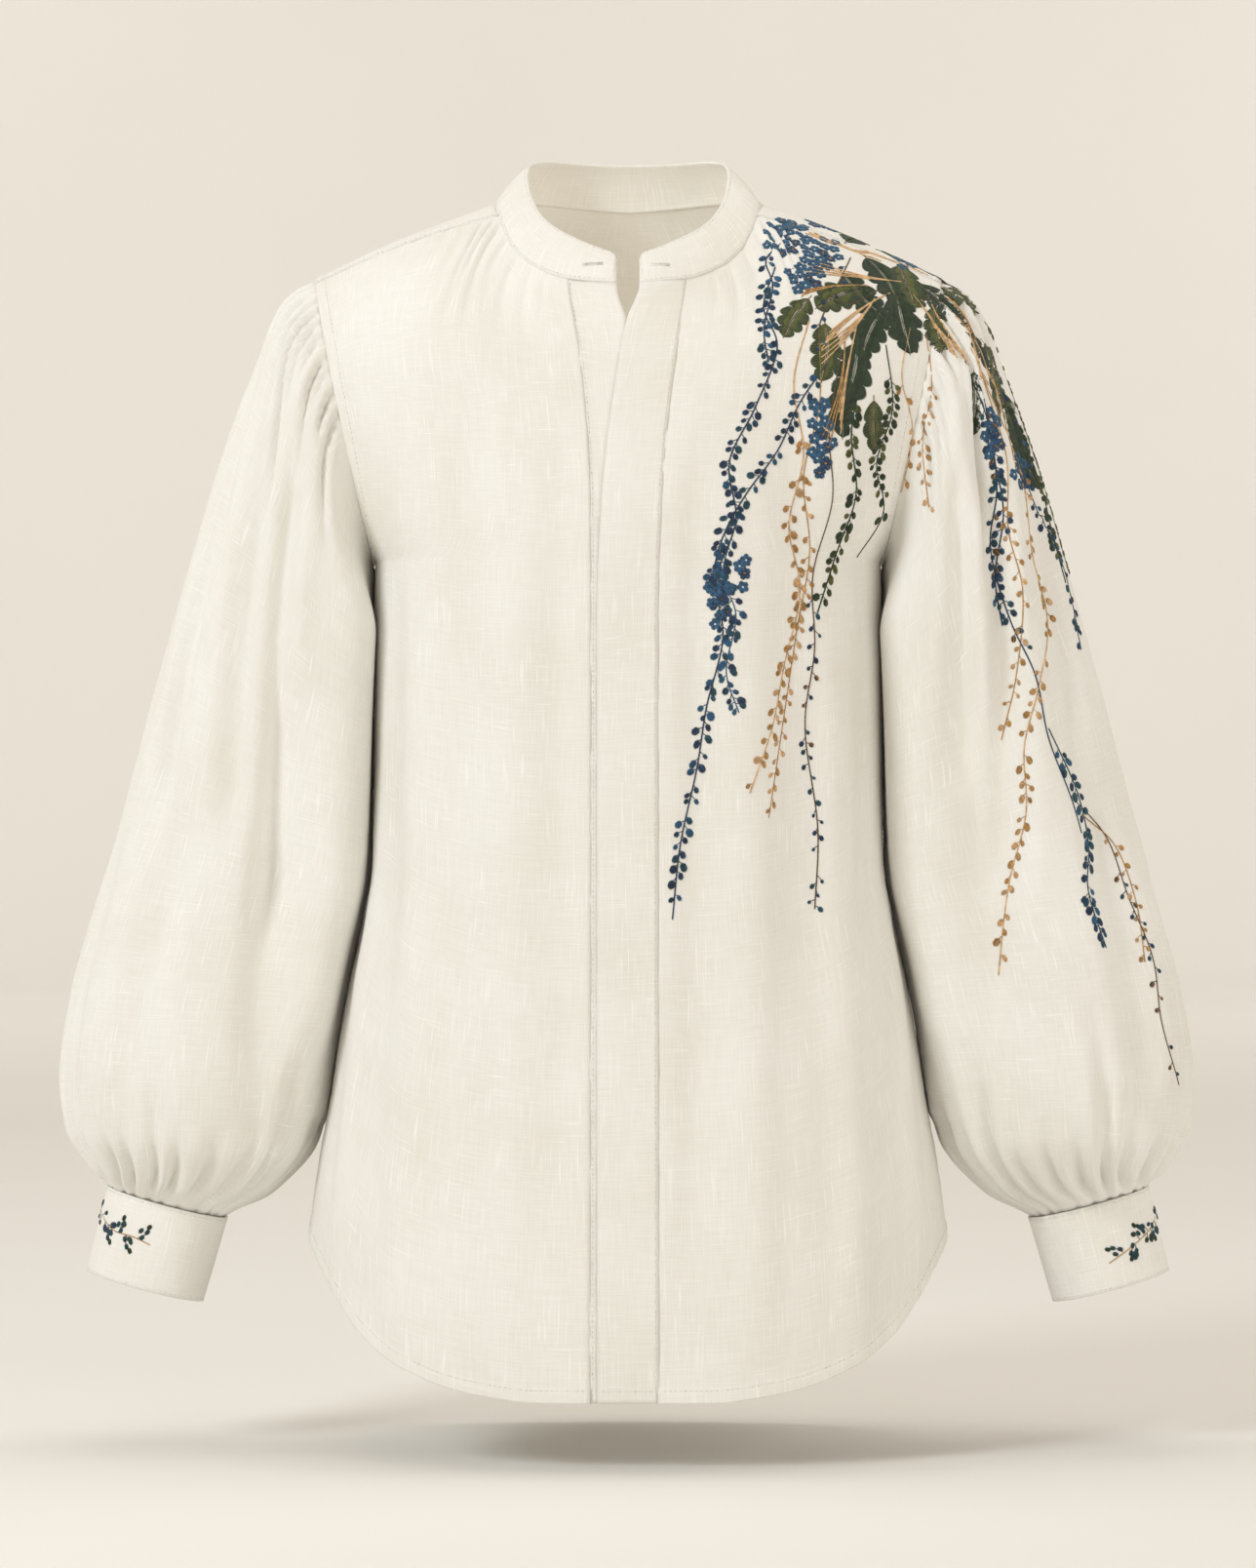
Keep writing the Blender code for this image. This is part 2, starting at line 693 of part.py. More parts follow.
def make_sleeve(name, side):
    rise = ARMHOLE_TOP[1] - ARMHOLE_FOOT[1]
    run = ARMHOLE_TOP[0] - ARMHOLE_FOOT[0]
    away = Vector((rise, 0, -run)).normalized()
    rows = []
    for along in SLEEVE_STATIONS:
        row = []
        for column, turn in enumerate(sleeve_turns(along)):
            point, out = sleeve_ring(along, turn)
            sign = 1 if column % 2 else -1
            over_cap = bump(min(abs(turn) / (CAP_HALF_ANGLE + CAP_FADE), 1.0) ** 4)
            gather = through(GATHERS, "cap", along) * over_cap + through(GATHERS, "cuff", along)
            lift = sign * gather + sleeve_fold(SLEEVE_FOLDS[side], along, turn)
            point = point + out * lift
            if along < SEAM_REACH:
                under = (1 - math.cos(math.radians(turn))) / 2
                gap = lerp(SLEEVE_GAP_TOP, SLEEVE_GAP_FOOT, under ** 1.5)
                point += away * gap * (1 - along / SEAM_REACH)
            row.append(point)
        rows.append(row)
    if side == "right":
        rows = mirrored(rows)
    cloth(name, rows, CLOTH, closed=True, flip=side == "right")


# Cuffs and their buttons

def cuff_point(turn, level, lift):
    """Point on a cuff's band; turn is 0 at the outer side and 90 at the front."""
    top = Vector((CUFF_TOP[0], 0, CUFF_TOP[1]))
    foot = Vector((CUFF_FOOT[0], 0, CUFF_FOOT[1]))
    axis = (foot - top).normalized()
    across = Vector((-axis.z, 0, axis.x))
    width = lerp(CUFF_HALF_WIDTH[0], CUFF_HALF_WIDTH[1], level) + lift
    depth = lerp(CUFF_HALF_DEPTH[0], CUFF_HALF_DEPTH[1], level) + lift
    angle = math.radians(turn)
    return (top.lerp(foot, level) + across * (width * math.cos(angle))
            + Vector((0, -depth * math.sin(angle), 0)))


def make_cuff(name, mirror):
    rows = []
    for level in CUFF_LEVELS:
        row = []
        for column in range(CUFF_COLUMNS + 1):
            turned = (360 + CUFF_LAP) * column / CUFF_COLUMNS
            lift = CUFF_LIFT * smoothstep(LAP_RISE[0], LAP_RISE[1], turned)
            row.append(cuff_point(CUFF_START + turned, level, lift))
        rows.append(row)
    if mirror:
        rows = mirrored(rows)
    cloth(name, rows, CUFF_CLOTH, flip=mirror)


def make_cuff_button(name, mirror):
    """A plain round button that stands just off the lap of the cuff."""
    turn = CUFF_START + CUFF_LAP * 0.4
    rest = CUFF_LIFT + CUFF_CLOTH + SEAM_GAP
    near = cuff_point(turn, 0.5, rest)
    out = (cuff_point(turn, 0.5, rest + 1) - near).normalized()
    centre = near + out * (BUTTON_THICKNESS / 2)
    if mirror:
        centre.x = -centre.x
        out.x = -out.x
    mesh = bpy.data.meshes.new(name)
    build = bmesh.new()
    bmesh.ops.create_cone(build, cap_ends=True, segments=BUTTON_SIDES, radius1=BUTTON_RADIUS * MM,
                          radius2=BUTTON_RADIUS * MM, depth=BUTTON_THICKNESS * MM)
    build.to_mesh(mesh)
    build.free()
    mesh.shade_smooth()
    button = bpy.data.objects.new(name, mesh)
    button.rotation_mode = "QUATERNION"
    button.rotation_quaternion = out.to_track_quat("Z", "Y")
    button.location = centre * MM
    shirt.objects.link(button)
    rim = button.modifiers.new("rim", "BEVEL")
    rim.width = BUTTON_BEVEL * MM
    rim.segments = 1
    mesh.materials.append(new_material(name + "_shell", BUTTON_WHITE, 0.4))


def clear_scene():
    for thing in list(bpy.data.objects):
        bpy.data.objects.remove(thing, do_unlink=True)


clear_scene()
shirt = bpy.data.collections.new("embroidered_shirt")
bpy.context.scene.collection.children.link(shirt)

make_front("front_left", "over_sewn", mirror=False)
make_front("front_right", "under_sewn", mirror=True)
make_placket("placket_over", "over_free", "over_sewn", OVER_LIFT, BAND_CLOTH, SEAM_GAP)
make_placket("placket_under", "under_free", "under_sewn", UNDER_LIFT, CLOTH, -SEAM_GAP)
make_back()
make_yoke()
make_collar()
for side, mirror in (("left", False), ("right", True)):
    make_sleeve("sleeve_" + side, side)
    make_cuff("cuff_" + side, mirror)
    make_cuff_button("cuff_button_" + side, mirror)
bpy.context.view_layer.update()
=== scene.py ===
"""Looks of an embroidered linen shirt that stands filled out with no wearer.

Tables and shapes are in millimetres and degrees, in the solid model's frame: +X is the
viewer's right and the wearer's left, -Y is the front and +Z is up. Points become metres
when a mesh is made. The stage, lights and camera are in metres.
"""
import math
import random
from collections import namedtuple

import bpy
import numpy as np
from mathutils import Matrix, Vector
from mathutils.bvhtree import BVHTree


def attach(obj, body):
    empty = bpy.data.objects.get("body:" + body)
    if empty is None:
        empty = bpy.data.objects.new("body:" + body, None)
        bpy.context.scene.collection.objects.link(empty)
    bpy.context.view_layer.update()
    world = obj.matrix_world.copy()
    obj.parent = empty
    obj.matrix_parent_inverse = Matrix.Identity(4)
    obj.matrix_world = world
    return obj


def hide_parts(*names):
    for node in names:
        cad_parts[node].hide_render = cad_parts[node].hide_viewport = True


MM = 0.001

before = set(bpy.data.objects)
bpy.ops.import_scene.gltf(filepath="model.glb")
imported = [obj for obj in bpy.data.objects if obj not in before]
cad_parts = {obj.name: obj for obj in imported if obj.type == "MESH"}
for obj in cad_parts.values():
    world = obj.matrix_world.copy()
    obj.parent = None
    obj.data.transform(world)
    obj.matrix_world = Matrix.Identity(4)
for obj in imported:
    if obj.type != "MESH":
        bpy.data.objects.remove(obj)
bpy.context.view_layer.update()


def table_of(kind, *rows):
    """A table whose rows have named columns."""
    return tuple(kind(*row) for row in rows)


# Shape tables, the same as the solid model's

NECK_HALF_WIDTH = 83.0
NECK_FRONT = 88.0
NECK_BACK = 68.0
NeckLine = namedtuple("NeckLine", "angle z")
NECK_LINE = table_of(
    NeckLine,
    (0, -56.0), (26, -51.5), (43, -43.0), (59, -29.0), (70, -14.5), (78, -5.0), (90, 2.0),
    (110, 7.0), (135, 9.0), (180, 6.0),
)
COLLAR_HALF_WIDTH = 63.0
COLLAR_FRONT = 62.0
COLLAR_BACK = 52.0
COLLAR_OPENING = 7.0
COLLAR_BOW = 2.0
COLLAR_LAP = -0.025
COLLAR_TOP = table_of(
    NeckLine,
    (0, -36.5), (12, -33.5), (33, -24.0), (54, -12.0), (75, 6.0), (90, 21.0), (110, 31.0),
    (135, 34.0), (180, 34.0),
)
Width = namedtuple("Width", "z half_width")
WIDTHS = table_of(
    Width,
    (-225, 159.5), (-260, 160.0), (-412, 160.5), (-450, 166.5), (-487, 175.0), (-522, 181.5),
    (-565, 188.0), (-600, 194.5), (-650, 201.0), (-752, 206.0),
)
Depth = namedtuple("Depth", "z front back")
DEPTHS = table_of(
    Depth,
    (-50, 87, 92), (-85, 99, 106), (-110, 107, 111), (-150, 117, 115), (-200, 125, 116),
    (-300, 129, 108), (-400, 127, 102), (-500, 126, 104), (-650, 129, 113), (-752, 131, 118),
)
BODY_POWER = 2.3
BODY_FOLD_FADE = 90.0
ARMHOLE_TOP = (198.0, -46.0)
ARMHOLE_FOOT = (159.5, -225.0)
ARMHOLE_DEPTH = {"front": 68.0, "back": 72.0}
ARMHOLE_MID_Z = (ARMHOLE_TOP[1] + ARMHOLE_FOOT[1]) / 2
ARMHOLE_HALF_HEIGHT = (ARMHOLE_TOP[1] - ARMHOLE_FOOT[1]) / 2
SLEEVE_GAP_TOP = 0.8
SLEEVE_GAP_FOOT = 2.3
YOKE_NECK_ANGLE = 77.0
YOKE_ARM_Z = -50.0
YOKE_BACK_Z = -85.0
YOKE_TURN_ANGLE = 115.0
YokeBow = namedtuple("YokeBow", "angle height lean")
YOKE_BOWS = table_of(
    YokeBow,
    (77, 4.0, -18), (90, 4.0, 0), (115, 7.0, 40), (180, 9.0, 58),
)
YOKE_LAP_ANGLE = 0.7
YOKE_LAP_SHARE = 0.008
CHEST_Z = -110.0
CHEST_STEP = 6.0
NECK_CORNER_SHARE = 7 / 18
NECK_LEAD = (0.62, 0.78)
YOKE_LEAD = (0.88, 0.47)
SIDE_TIP_Z = -650.0
Hem = namedtuple("Hem", "x front back")
HEM = table_of(
    Hem,
    (0, -743, -752), (40, -743, -752), (70, -740, -751), (98, -735, -747), (131, -723, -737),
    (157, -706, -717), (173, -688, -697), (188, -668, -675), (202, -650, -650),
)
PlacketEdges = namedtuple("PlacketEdges", "z over_free over_sewn under_free under_sewn")
PLACKET_EDGES = table_of(
    PlacketEdges,
    (-50, 7, 35, -7, -37), (-56, 7, 34.6, -7, -36.6), (-79, -1, 32, -1, -33),
    (-97, -4.5, 29.5, 2, -30), (-140, -11, 24, 6.5, -25.5), (-189, -16, 20, 11, -23),
    (-264, -19, 17.5, 14, -22.5), (-743, -19, 18, 14, -23),
)
Ring = namedtuple("Ring", "along outer_x outer_z inner_x inner_z depth")
SLEEVE = table_of(
    Ring,
    (0, 198.0, -46.0, 159.5, -225.0, 70), (9, 206.0, -51.0, 162.3, -228.5, 72),
    (25, 219.0, -63.0, 162.8, -238.0, 75), (65, 236.0, -101.0, 163.0, -260.0, 77),
    (125, 256.5, -156.0, 163.3, -290.0, 76), (203, 278.0, -228.0, 163.8, -330.0, 72),
    (283, 299.5, -305.0, 164.5, -380.0, 69), (375, 323.0, -394.0, 167.5, -430.0, 68),
    (439, 342.0, -455.0, 177.5, -470.0, 71), (485, 353.5, -499.0, 185.0, -510.0, 75),
    (533, 359.8, -547.0, 190.5, -552.0, 78), (567, 354.5, -582.0, 200.5, -590.0, 71),
    (593, 340.0, -604.0, 224.0, -617.0, 53), (611, 330.3, -618.5, 255.3, -638.5, 31.5),
)
SLEEVE_LENGTH = SLEEVE[-1].along
SEAM_REACH = 40.0
CUFF_TOP = (292.5, -630.0)
CUFF_FOOT = (307.0, -683.5)
CUFF_HALF_WIDTH = (37.6, 36.4)
CUFF_HALF_DEPTH = (31.0, 29.8)
CUFF_START = 250.0
CUFF_LAP = 25.0
CUFF_LIFT = 2.6
LAP_RISE = (300, 350)

# Folds of the body: arc is the way over the cloth from the centre line, and they drift out
BodyFold = namedtuple("BodyFold", "arc drift spread top foot height")
BODY_FOLDS = {
    "left": table_of(
        BodyFold,
        (44, -4, 24, 130, 700, -3.0), (74, 6, 22, 210, 752, 3.4), (104, 8, 26, 100, 560, -3.4),
        (138, 12, 24, 250, 752, 4.2), (172, 10, 26, 180, 640, -3.6), (205, 8, 22, 360, 700, 3.0),
    ),
    "right": table_of(
        BodyFold,
        (40, -6, 22, 120, 640, -2.8), (68, 8, 24, 180, 752, 3.6), (98, 10, 24, 90, 600, -3.8),
        (132, 16, 26, 230, 752, 4.4), (168, 14, 24, 170, 660, -3.8), (202, 10, 22, 340, 700, 3.2),
    ),
    "back": table_of(
        BodyFold,
        (-196, -8, 24, 310, 720, 3.2), (-160, -10, 26, 130, 620, -4.2),
        (-122, -10, 24, 240, 752, 4.2), (-82, -6, 25, 150, 700, -4.4), (-40, -4, 24, 100, 752, 4.6),
        (4, 0, 26, 130, 640, -4.2), (44, 5, 23, 110, 752, 4.2), (86, 8, 26, 170, 690, -4.6),
        (126, 10, 24, 220, 752, 4.0), (164, 12, 25, 120, 600, -4.0), (200, 8, 22, 330, 720, 3.4),
    ),
}

# Small gathers below the neck and the yoke's seams: drift is how far each leans over its reach
NeckGather = namedtuple("NeckGather", "share spread drift reach height")
FRONT_GATHERS = {
    "left": table_of(
        NeckGather,
        (0.10, 0.020, 0.01, 55, -0.8), (0.17, 0.026, 0.02, 80, -1.1), (0.25, 0.024, 0.02, 60, -0.9),
        (0.33, 0.030, 0.03, 95, -1.5), (0.385, 0.026, 0.03, 120, -1.9),
        (0.43, 0.024, 0.02, 90, -1.6), (0.475, 0.026, 0.02, 75, -1.2),
        (0.53, 0.028, 0.01, 60, -0.9), (0.62, 0.030, 0.00, 50, -0.6), (0.74, 0.030, 0.00, 40, -0.5),
    ),
    "right": table_of(
        NeckGather,
        (0.09, 0.022, 0.01, 50, -0.8), (0.15, 0.024, 0.02, 75, -1.0), (0.22, 0.026, 0.03, 85, -1.2),
        (0.29, 0.024, 0.03, 70, -1.1), (0.35, 0.028, 0.03, 130, -1.9),
        (0.395, 0.024, 0.03, 100, -1.8), (0.44, 0.026, 0.02, 110, -1.6),
        (0.50, 0.028, 0.02, 70, -1.1), (0.57, 0.030, 0.01, 55, -0.8), (0.68, 0.032, 0.00, 45, -0.6),
    ),
}
BACK_GATHERS = table_of(
    NeckGather,
    (-0.34, 0.018, -0.01, 70, -1.0), (-0.28, 0.020, -0.01, 110, -1.5),
    (-0.22, 0.018, -0.01, 85, -1.3), (-0.16, 0.020, 0.00, 130, -1.8),
    (-0.10, 0.018, 0.00, 100, -1.4), (-0.04, 0.020, 0.00, 150, -1.7), (0.03, 0.018, 0.00, 90, -1.3),
    (0.09, 0.020, 0.00, 140, -1.8), (0.15, 0.018, 0.01, 80, -1.2), (0.21, 0.020, 0.01, 120, -1.6),
    (0.27, 0.018, 0.01, 75, -1.1), (0.33, 0.020, 0.01, 95, -1.2),
)

# Long soft folds of the sleeves: angle 0 is the outer side, 90 the front and 270 the back
SleeveFold = namedtuple("SleeveFold", "angle drift spread top foot height")
SLEEVE_FOLDS = {
    "left": table_of(
        SleeveFold,
        (22, 34, 17, 25, 360, -4.5), (56, 44, 16, 20, 420, -6.5), (84, 36, 17, 40, 330, -6.0),
        (96, 30, 20, 210, 590, -5.5), (44, 16, 19, 300, 596, -5.0), (4, 8, 18, 380, 600, -3.5),
        (205, -10, 20, 90, 540, -5.0), (245, -24, 16, 40, 420, -6.0), (292, -34, 17, 30, 520, -6.5),
        (330, -30, 16, 30, 340, -5.0),
    ),
    "right": table_of(
        SleeveFold,
        (18, 30, 16, 25, 400, -5.0), (50, 40, 16, 20, 380, -6.0), (76, 40, 17, 30, 460, -7.0),
        (104, 24, 20, 190, 580, -6.0), (58, 14, 18, 330, 598, -5.5), (14, 10, 19, 350, 600, -4.0),
        (210, -12, 20, 100, 500, -5.0), (252, -22, 16, 40, 450, -6.0),
        (296, -34, 17, 40, 540, -6.0), (332, -28, 16, 30, 360, -5.0),
    ),
}

# The sleeves' calm inner side, which lies against the body, and the rolls beside it
INNER_ROLL = SleeveFold(139, 0, 32, 20, 560, 14.0)
INNER_ROLL_FADE = 90
INNER_TURNS = (125, 158)
INNER_START = (12, 34)
INNER_END = (440, 520)
INNER_CALM = 0.85
INNER_RISE = (0.3, 1.3)
INNER_RISE_WAY = (90, 380)
SIDE_CLEARANCE = 0.25
SIDE_PUSH_MOST = 2.8
SIDE_PUSH_ANGLE = 26.0
SIDE_PUSH_WAY = (2, 560, 10)

# Strength of the sleeves' folds, and the gathers at cap and cuff
SLEEVE_FOLD_FADE = 80.0
FOLD_STRENGTH = 1.75
CAP_GATHERS = 23
CAP_HALF_ANGLE = 92.0
LONG_GATHER_ANGLE = 62.0
CUFF_GATHERS = 24
GatherSize = namedtuple("GatherSize", "reach height spread")
CAP_LONG = GatherSize((150, 260), (5.0, 7.0), (2.6, 3.6))
CAP_SHORT = GatherSize((40, 95), (3.0, 4.8), (2.6, 3.6))
CUFF_LONG = GatherSize((110, 165), (6.0, 8.0), (5.2, 7.0))
CUFF_SHORT = GatherSize((50, 95), (4.2, 6.6), (5.2, 7.0))
CAP_WIDEN = 1.6
CUFF_WIDEN = 0.35
GATHER_SEEDS = {"left": 3, "right": 8}
SLEEVE_TUCK = 2.4
TUCK_DEPTH = 1.1
TUCK_REACH = 6
CUFF_TUCK = 0.9
CAP_CROWD = 0.4
END_CROWD = 0.09

# Cloth and seam relief
EdgeWave = namedtuple("EdgeWave", "height period phase fade")
EDGE_WAVES = {
    "front side": EdgeWave(0.26, 13.0, 1.0, 14.0), "front hem": EdgeWave(0.35, 15.0, 2.0, 16.0),
    "front edge": EdgeWave(0.22, 21.0, 0.4, 12.0), "back side": EdgeWave(0.26, 14.0, 0.3, 14.0),
    "back hem": EdgeWave(0.35, 16.0, 1.2, 16.0), "yoke front": EdgeWave(0.30, 17.0, 0.8, 10.0),
    "yoke outer": EdgeWave(0.35, 15.0, 1.9, 12.0), "yoke neck": EdgeWave(0.30, 11.0, 0.2, 9.0),
    "placket free": EdgeWave(0.28, 26.0, 0.9, 9.0), "placket sewn": EdgeWave(0.08, 19.0, 0.1, 9.0),
    "collar foot": EdgeWave(0.18, 12.0, 0.4, 6.0),
}
WALL = 0.8
WALL_BASE = 0.2
BAND_WALLS = {"placket_over": 1.0, "collar_band": 1.6, "cuff_left": 1.8, "cuff_right": 1.8}
UV_SHIFT = (0.37, 0.23)
PLACKET_LAP = 0.9
PLACKET_LIFTS = {"over": (0.30, 0.12), "under": (-1.05, 0.0)}
HEM_WIDTH = 9.0
HEM_RISE = 0.7
HEM_DITCH = 2.2
HEM_STITCH = HEM_WIDTH - 1.4
STRIP_WIDTH = 8.5
STRIP_RISE = 0.5
STRIP_STITCH = STRIP_WIDTH - 1.4
ARM_SEAM_ENDS = (-228.0, -222.0)
SIDE_STITCH = 4.0
YOKE_STITCH = 1.6
BAND_STITCH = 2.0
YOKE_DIP = 0.25
YOKE_DIP_FADE = 3.0
COLLAR_CORNER = 7.0
COLLAR_DITCH = 0.7
CUFF_DITCH = 0.8
YOKE_RISE = 0.35
DITCH = 0.2
DITCH_WIDTH = 1.6
CLOSE_TOP = -235.0
CLOSE_FOOT = -470.0
CLOSE_PUSH = 0.4

# Grid sizes: columns across and rows down
FRONT_GRID = (104, 40, 150)
BACK_GRID = (168, 150)
YOKE_GRID = (170, 30)
SLEEVE_GRID = (196, 150)
COLLAR_GRID = (210, 24)
CUFF_GRID = (170, 28)
PLACKET_GRID = (12, 210)
SIDE_CROWD_SHARE = 0.955
HEM_CROWD_SHARE = 0.972

RANDOM_SEED = 11


class Curve:
    """A smooth curve through one column of a table, whose first column is the key."""

    def __init__(self, table, column):
        rows = sorted(table)
        self.keys = np.array([row[0] for row in rows], float)
        self.values = np.array([getattr(row, column) for row in rows], float)
        secants = np.diff(self.values) / np.diff(self.keys)
        self.slopes = np.zeros(len(rows))
        self.slopes[0] = secants[0]
        self.slopes[-1] = secants[-1]
        before = secants[:-1]
        after = secants[1:]
        same = before * after > 0
        total = np.where(same, before + after, 1.0)
        self.slopes[1:-1] = np.where(same, 2 * before * after / total, 0.0)

    def __call__(self, at):
        at = np.clip(at, self.keys[0], self.keys[-1])
        low = np.clip(np.searchsorted(self.keys, at, "right") - 1, 0, len(self.keys) - 2)
        span = self.keys[low + 1] - self.keys[low]
        t = (at - self.keys[low]) / span
        return (self.values[low] * (1 + 2 * t) * (1 - t) ** 2
                + self.slopes[low] * span * t * (1 - t) ** 2
                + self.values[low + 1] * t * t * (3 - 2 * t)
                + self.slopes[low + 1] * span * t * t * (t - 1))


neck_z = Curve(NECK_LINE, "z")
collar_top_z = Curve(COLLAR_TOP, "z")
low_half_width = Curve(WIDTHS, "half_width")
body_depth = {"front": Curve(DEPTHS, "front"), "back": Curve(DEPTHS, "back")}
hem_z = {"front": Curve(HEM, "front"), "back": Curve(HEM, "back")}
placket_edge = {column: Curve(PLACKET_EDGES, column) for column in PlacketEdges._fields[1:]}
ring_curve = {column: Curve(SLEEVE, column) for column in Ring._fields[1:]}
bow_height = Curve(YOKE_BOWS, "height")
bow_lean = Curve(YOKE_BOWS, "lean")


# Small helpers on arrays

def lerp(start, end, share):
    return start + (end - start) * share


def smoothstep(start, end, at):
    t = np.clip((at - start) / (end - start), 0.0, 1.0)
    return t * t * (3 - 2 * t)


def window(start, end, fade, at):
    """One between start and end, easing to zero over the fade inside each end."""
    return smoothstep(start, start + fade, at) * (1 - smoothstep(end - fade, end, at))


def bump(offset):
    """A round hump, one at zero and nothing past one either way."""
    return np.where(np.abs(offset) < 1, (1 + np.cos(np.pi * np.clip(offset, -1, 1))) / 2, 0.0)


def joined(x, y, z):
    return np.stack(np.broadcast_arrays(x, y, z), -1).astype(float)


def unit(vectors):
    length = np.linalg.norm(vectors, axis=-1, keepdims=True)
    return vectors / np.maximum(length, 1e-9)


def wavy(at, period, phase):
    """An uneven wave along a seam, between about -1 and 1."""
    return (np.sin(at * 2 * np.pi / period + phase)
            + 0.6 * np.sin(at * 2 * np.pi / (period * 1.73) + 2.1 * phase)
            + 0.4 * np.sin(at * 2 * np.pi / (period * 0.61) + 0.7 * phase)) / 2


def edge_wave(name, along, distance):
    """One of the waves that run along an edge and die out away from it."""
    wave = EDGE_WAVES[name]
    return wave.height * wavy(along, wave.period, wave.phase) * np.exp(-distance / wave.fade)


def ditch(distance, at):
    """A narrow groove at one distance from an edge, as a row of stitches pulls in."""
    return -DITCH * bump((distance - at) / DITCH_WIDTH)


# Surfaces

def neck_points(angle):
    turn = np.radians(angle)
    depth = np.where(np.cos(turn) > 0, NECK_FRONT, NECK_BACK)
    folded = np.where(angle <= 180, angle, 360 - angle)
    return joined(NECK_HALF_WIDTH * np.sin(turn), -depth * np.cos(turn), neck_z(folded))


def neck_angle(x):
    return np.degrees(np.arcsin(x / NECK_HALF_WIDTH))


def half_width(z):
    rise = (z - ARMHOLE_FOOT[1]) / (ARMHOLE_TOP[1] - ARMHOLE_FOOT[1])
    high = lerp(ARMHOLE_FOOT[0], ARMHOLE_TOP[0], rise)
    return np.where(z >= ARMHOLE_FOOT[1], high, low_half_width(z))


def armhole_depth(side, z):
    rise = (z - ARMHOLE_MID_Z) / ARMHOLE_HALF_HEIGHT
    return ARMHOLE_DEPTH[side] * np.sqrt(np.clip(1 - rise * rise, 0, None))


def armhole_points(side, z):
    sign = -1 if side == "front" else 1
    return joined(half_width(z), sign * armhole_depth(side, z), z)


def body_points(side, share, z, start_x=0.0):
    """Points on the wall of the body; share runs from start_x, 0, to the side edge, 1."""
    depth = body_depth[side](z)
    width = half_width(z)
    edge = (1 - (armhole_depth(side, z) / depth) ** BODY_POWER) ** (1 / BODY_POWER)
    last = np.arcsin(edge ** (BODY_POWER / 2))
    first = np.arcsin((start_x * edge / width) ** (BODY_POWER / 2))
    turn = lerp(first, last, share)
    across = np.sin(turn) ** (2 / BODY_POWER)
    ahead = np.clip(np.cos(turn), 0, None) ** (2 / BODY_POWER)
    x = width * across / edge
    y = depth * ahead
    sign = -1 if side == "front" else 1
    return joined(x, sign * y, z)


def body_folds(name, arc_place, z, from_side):
    """Soft vertical folds, by the way over the cloth from the centre line."""
    relief = 0.0
    for fold in BODY_FOLDS[name]:
        centre = fold.arc + fold.drift * (-z - fold.top) / (fold.foot - fold.top)
        shown = window(fold.top, fold.foot, BODY_FOLD_FADE, -z)
        relief = relief + fold.height * bump((arc_place - centre) / fold.spread) * shown
    return relief * smoothstep(6.0, 34.0, from_side)


def side_close(z, from_side):
    """The side's small push out where it lies against the sleeve."""
    return CLOSE_PUSH * window(-CLOSE_TOP, -CLOSE_FOOT, 14.0, -z) * np.exp(-from_side / 10.0)


def centre_front(x, z):
    """Points near the centre front, easing into the neck oval at the top."""
    depth = body_depth["front"](z)
    reach = np.abs(x) / half_width(z)
    body = depth * (1 - reach ** BODY_POWER) ** (1 / BODY_POWER)
    neck = depth * np.sqrt(1 - (x / NECK_HALF_WIDTH) ** 2)
    return joined(x, -lerp(body, neck, smoothstep(CHEST_Z, -58.0, z)), z)


def hem_height(side, share):
    across = np.sin(np.pi / 2 * share) ** (2 / BODY_POWER)
    return hem_z[side](half_width(np.array(SIDE_TIP_Z)) * across)


def yoke_outer(angle):
    """The yoke's outer edge: round the armhole, then along its back seam to the centre."""
    front_turn = -math.acos((YOKE_ARM_Z - ARMHOLE_MID_Z) / ARMHOLE_HALF_HEIGHT)
    back_turn = math.acos((YOKE_BACK_Z - ARMHOLE_MID_Z) / ARMHOLE_HALF_HEIGHT)
    along = (angle - YOKE_NECK_ANGLE) / (YOKE_TURN_ANGLE - YOKE_NECK_ANGLE)
    turn = lerp(front_turn, back_turn, np.clip(along, 0, 1))
    z = ARMHOLE_MID_Z + ARMHOLE_HALF_HEIGHT * np.cos(turn)
    front = armhole_points("front", z)
    back = armhole_points("back", z)
    arm = np.where((turn < 0)[..., None], front, back)
    share = np.clip((180 - angle) / (180 - YOKE_TURN_ANGLE), 0, 1)
    rear = body_points("back", share, np.full_like(share, YOKE_BACK_Z))
    return np.where((angle <= YOKE_TURN_ANGLE)[..., None], arm, rear)


def yoke_points(angle, share):
    """Points of the yoke's wearer's-left half, by the angle at the neck and the way out."""
    start = neck_points(angle)
    end = yoke_outer(angle)
    bow = bow_height(angle)
    lean = np.radians(bow_lean(angle))
    rise = (4 * bow * share * (1 - share))[..., None]
    return lerp(start, end, share[..., None]) + joined(0, np.sin(lean), np.cos(lean)) * rise


def chest_top(share):
    corner = NECK_CORNER_SHARE
    start = neck_angle(placket_edge["over_sewn"](-52.0))
    angle = lerp(start, YOKE_NECK_ANGLE, np.clip(share / corner, 0, 1))
    out = np.clip((share - corner) / (1 - corner), 0, 1)
    seam = yoke_points(np.full_like(out, YOKE_NECK_ANGLE), out)
    return np.where((share <= corner)[..., None], neck_points(angle), seam)


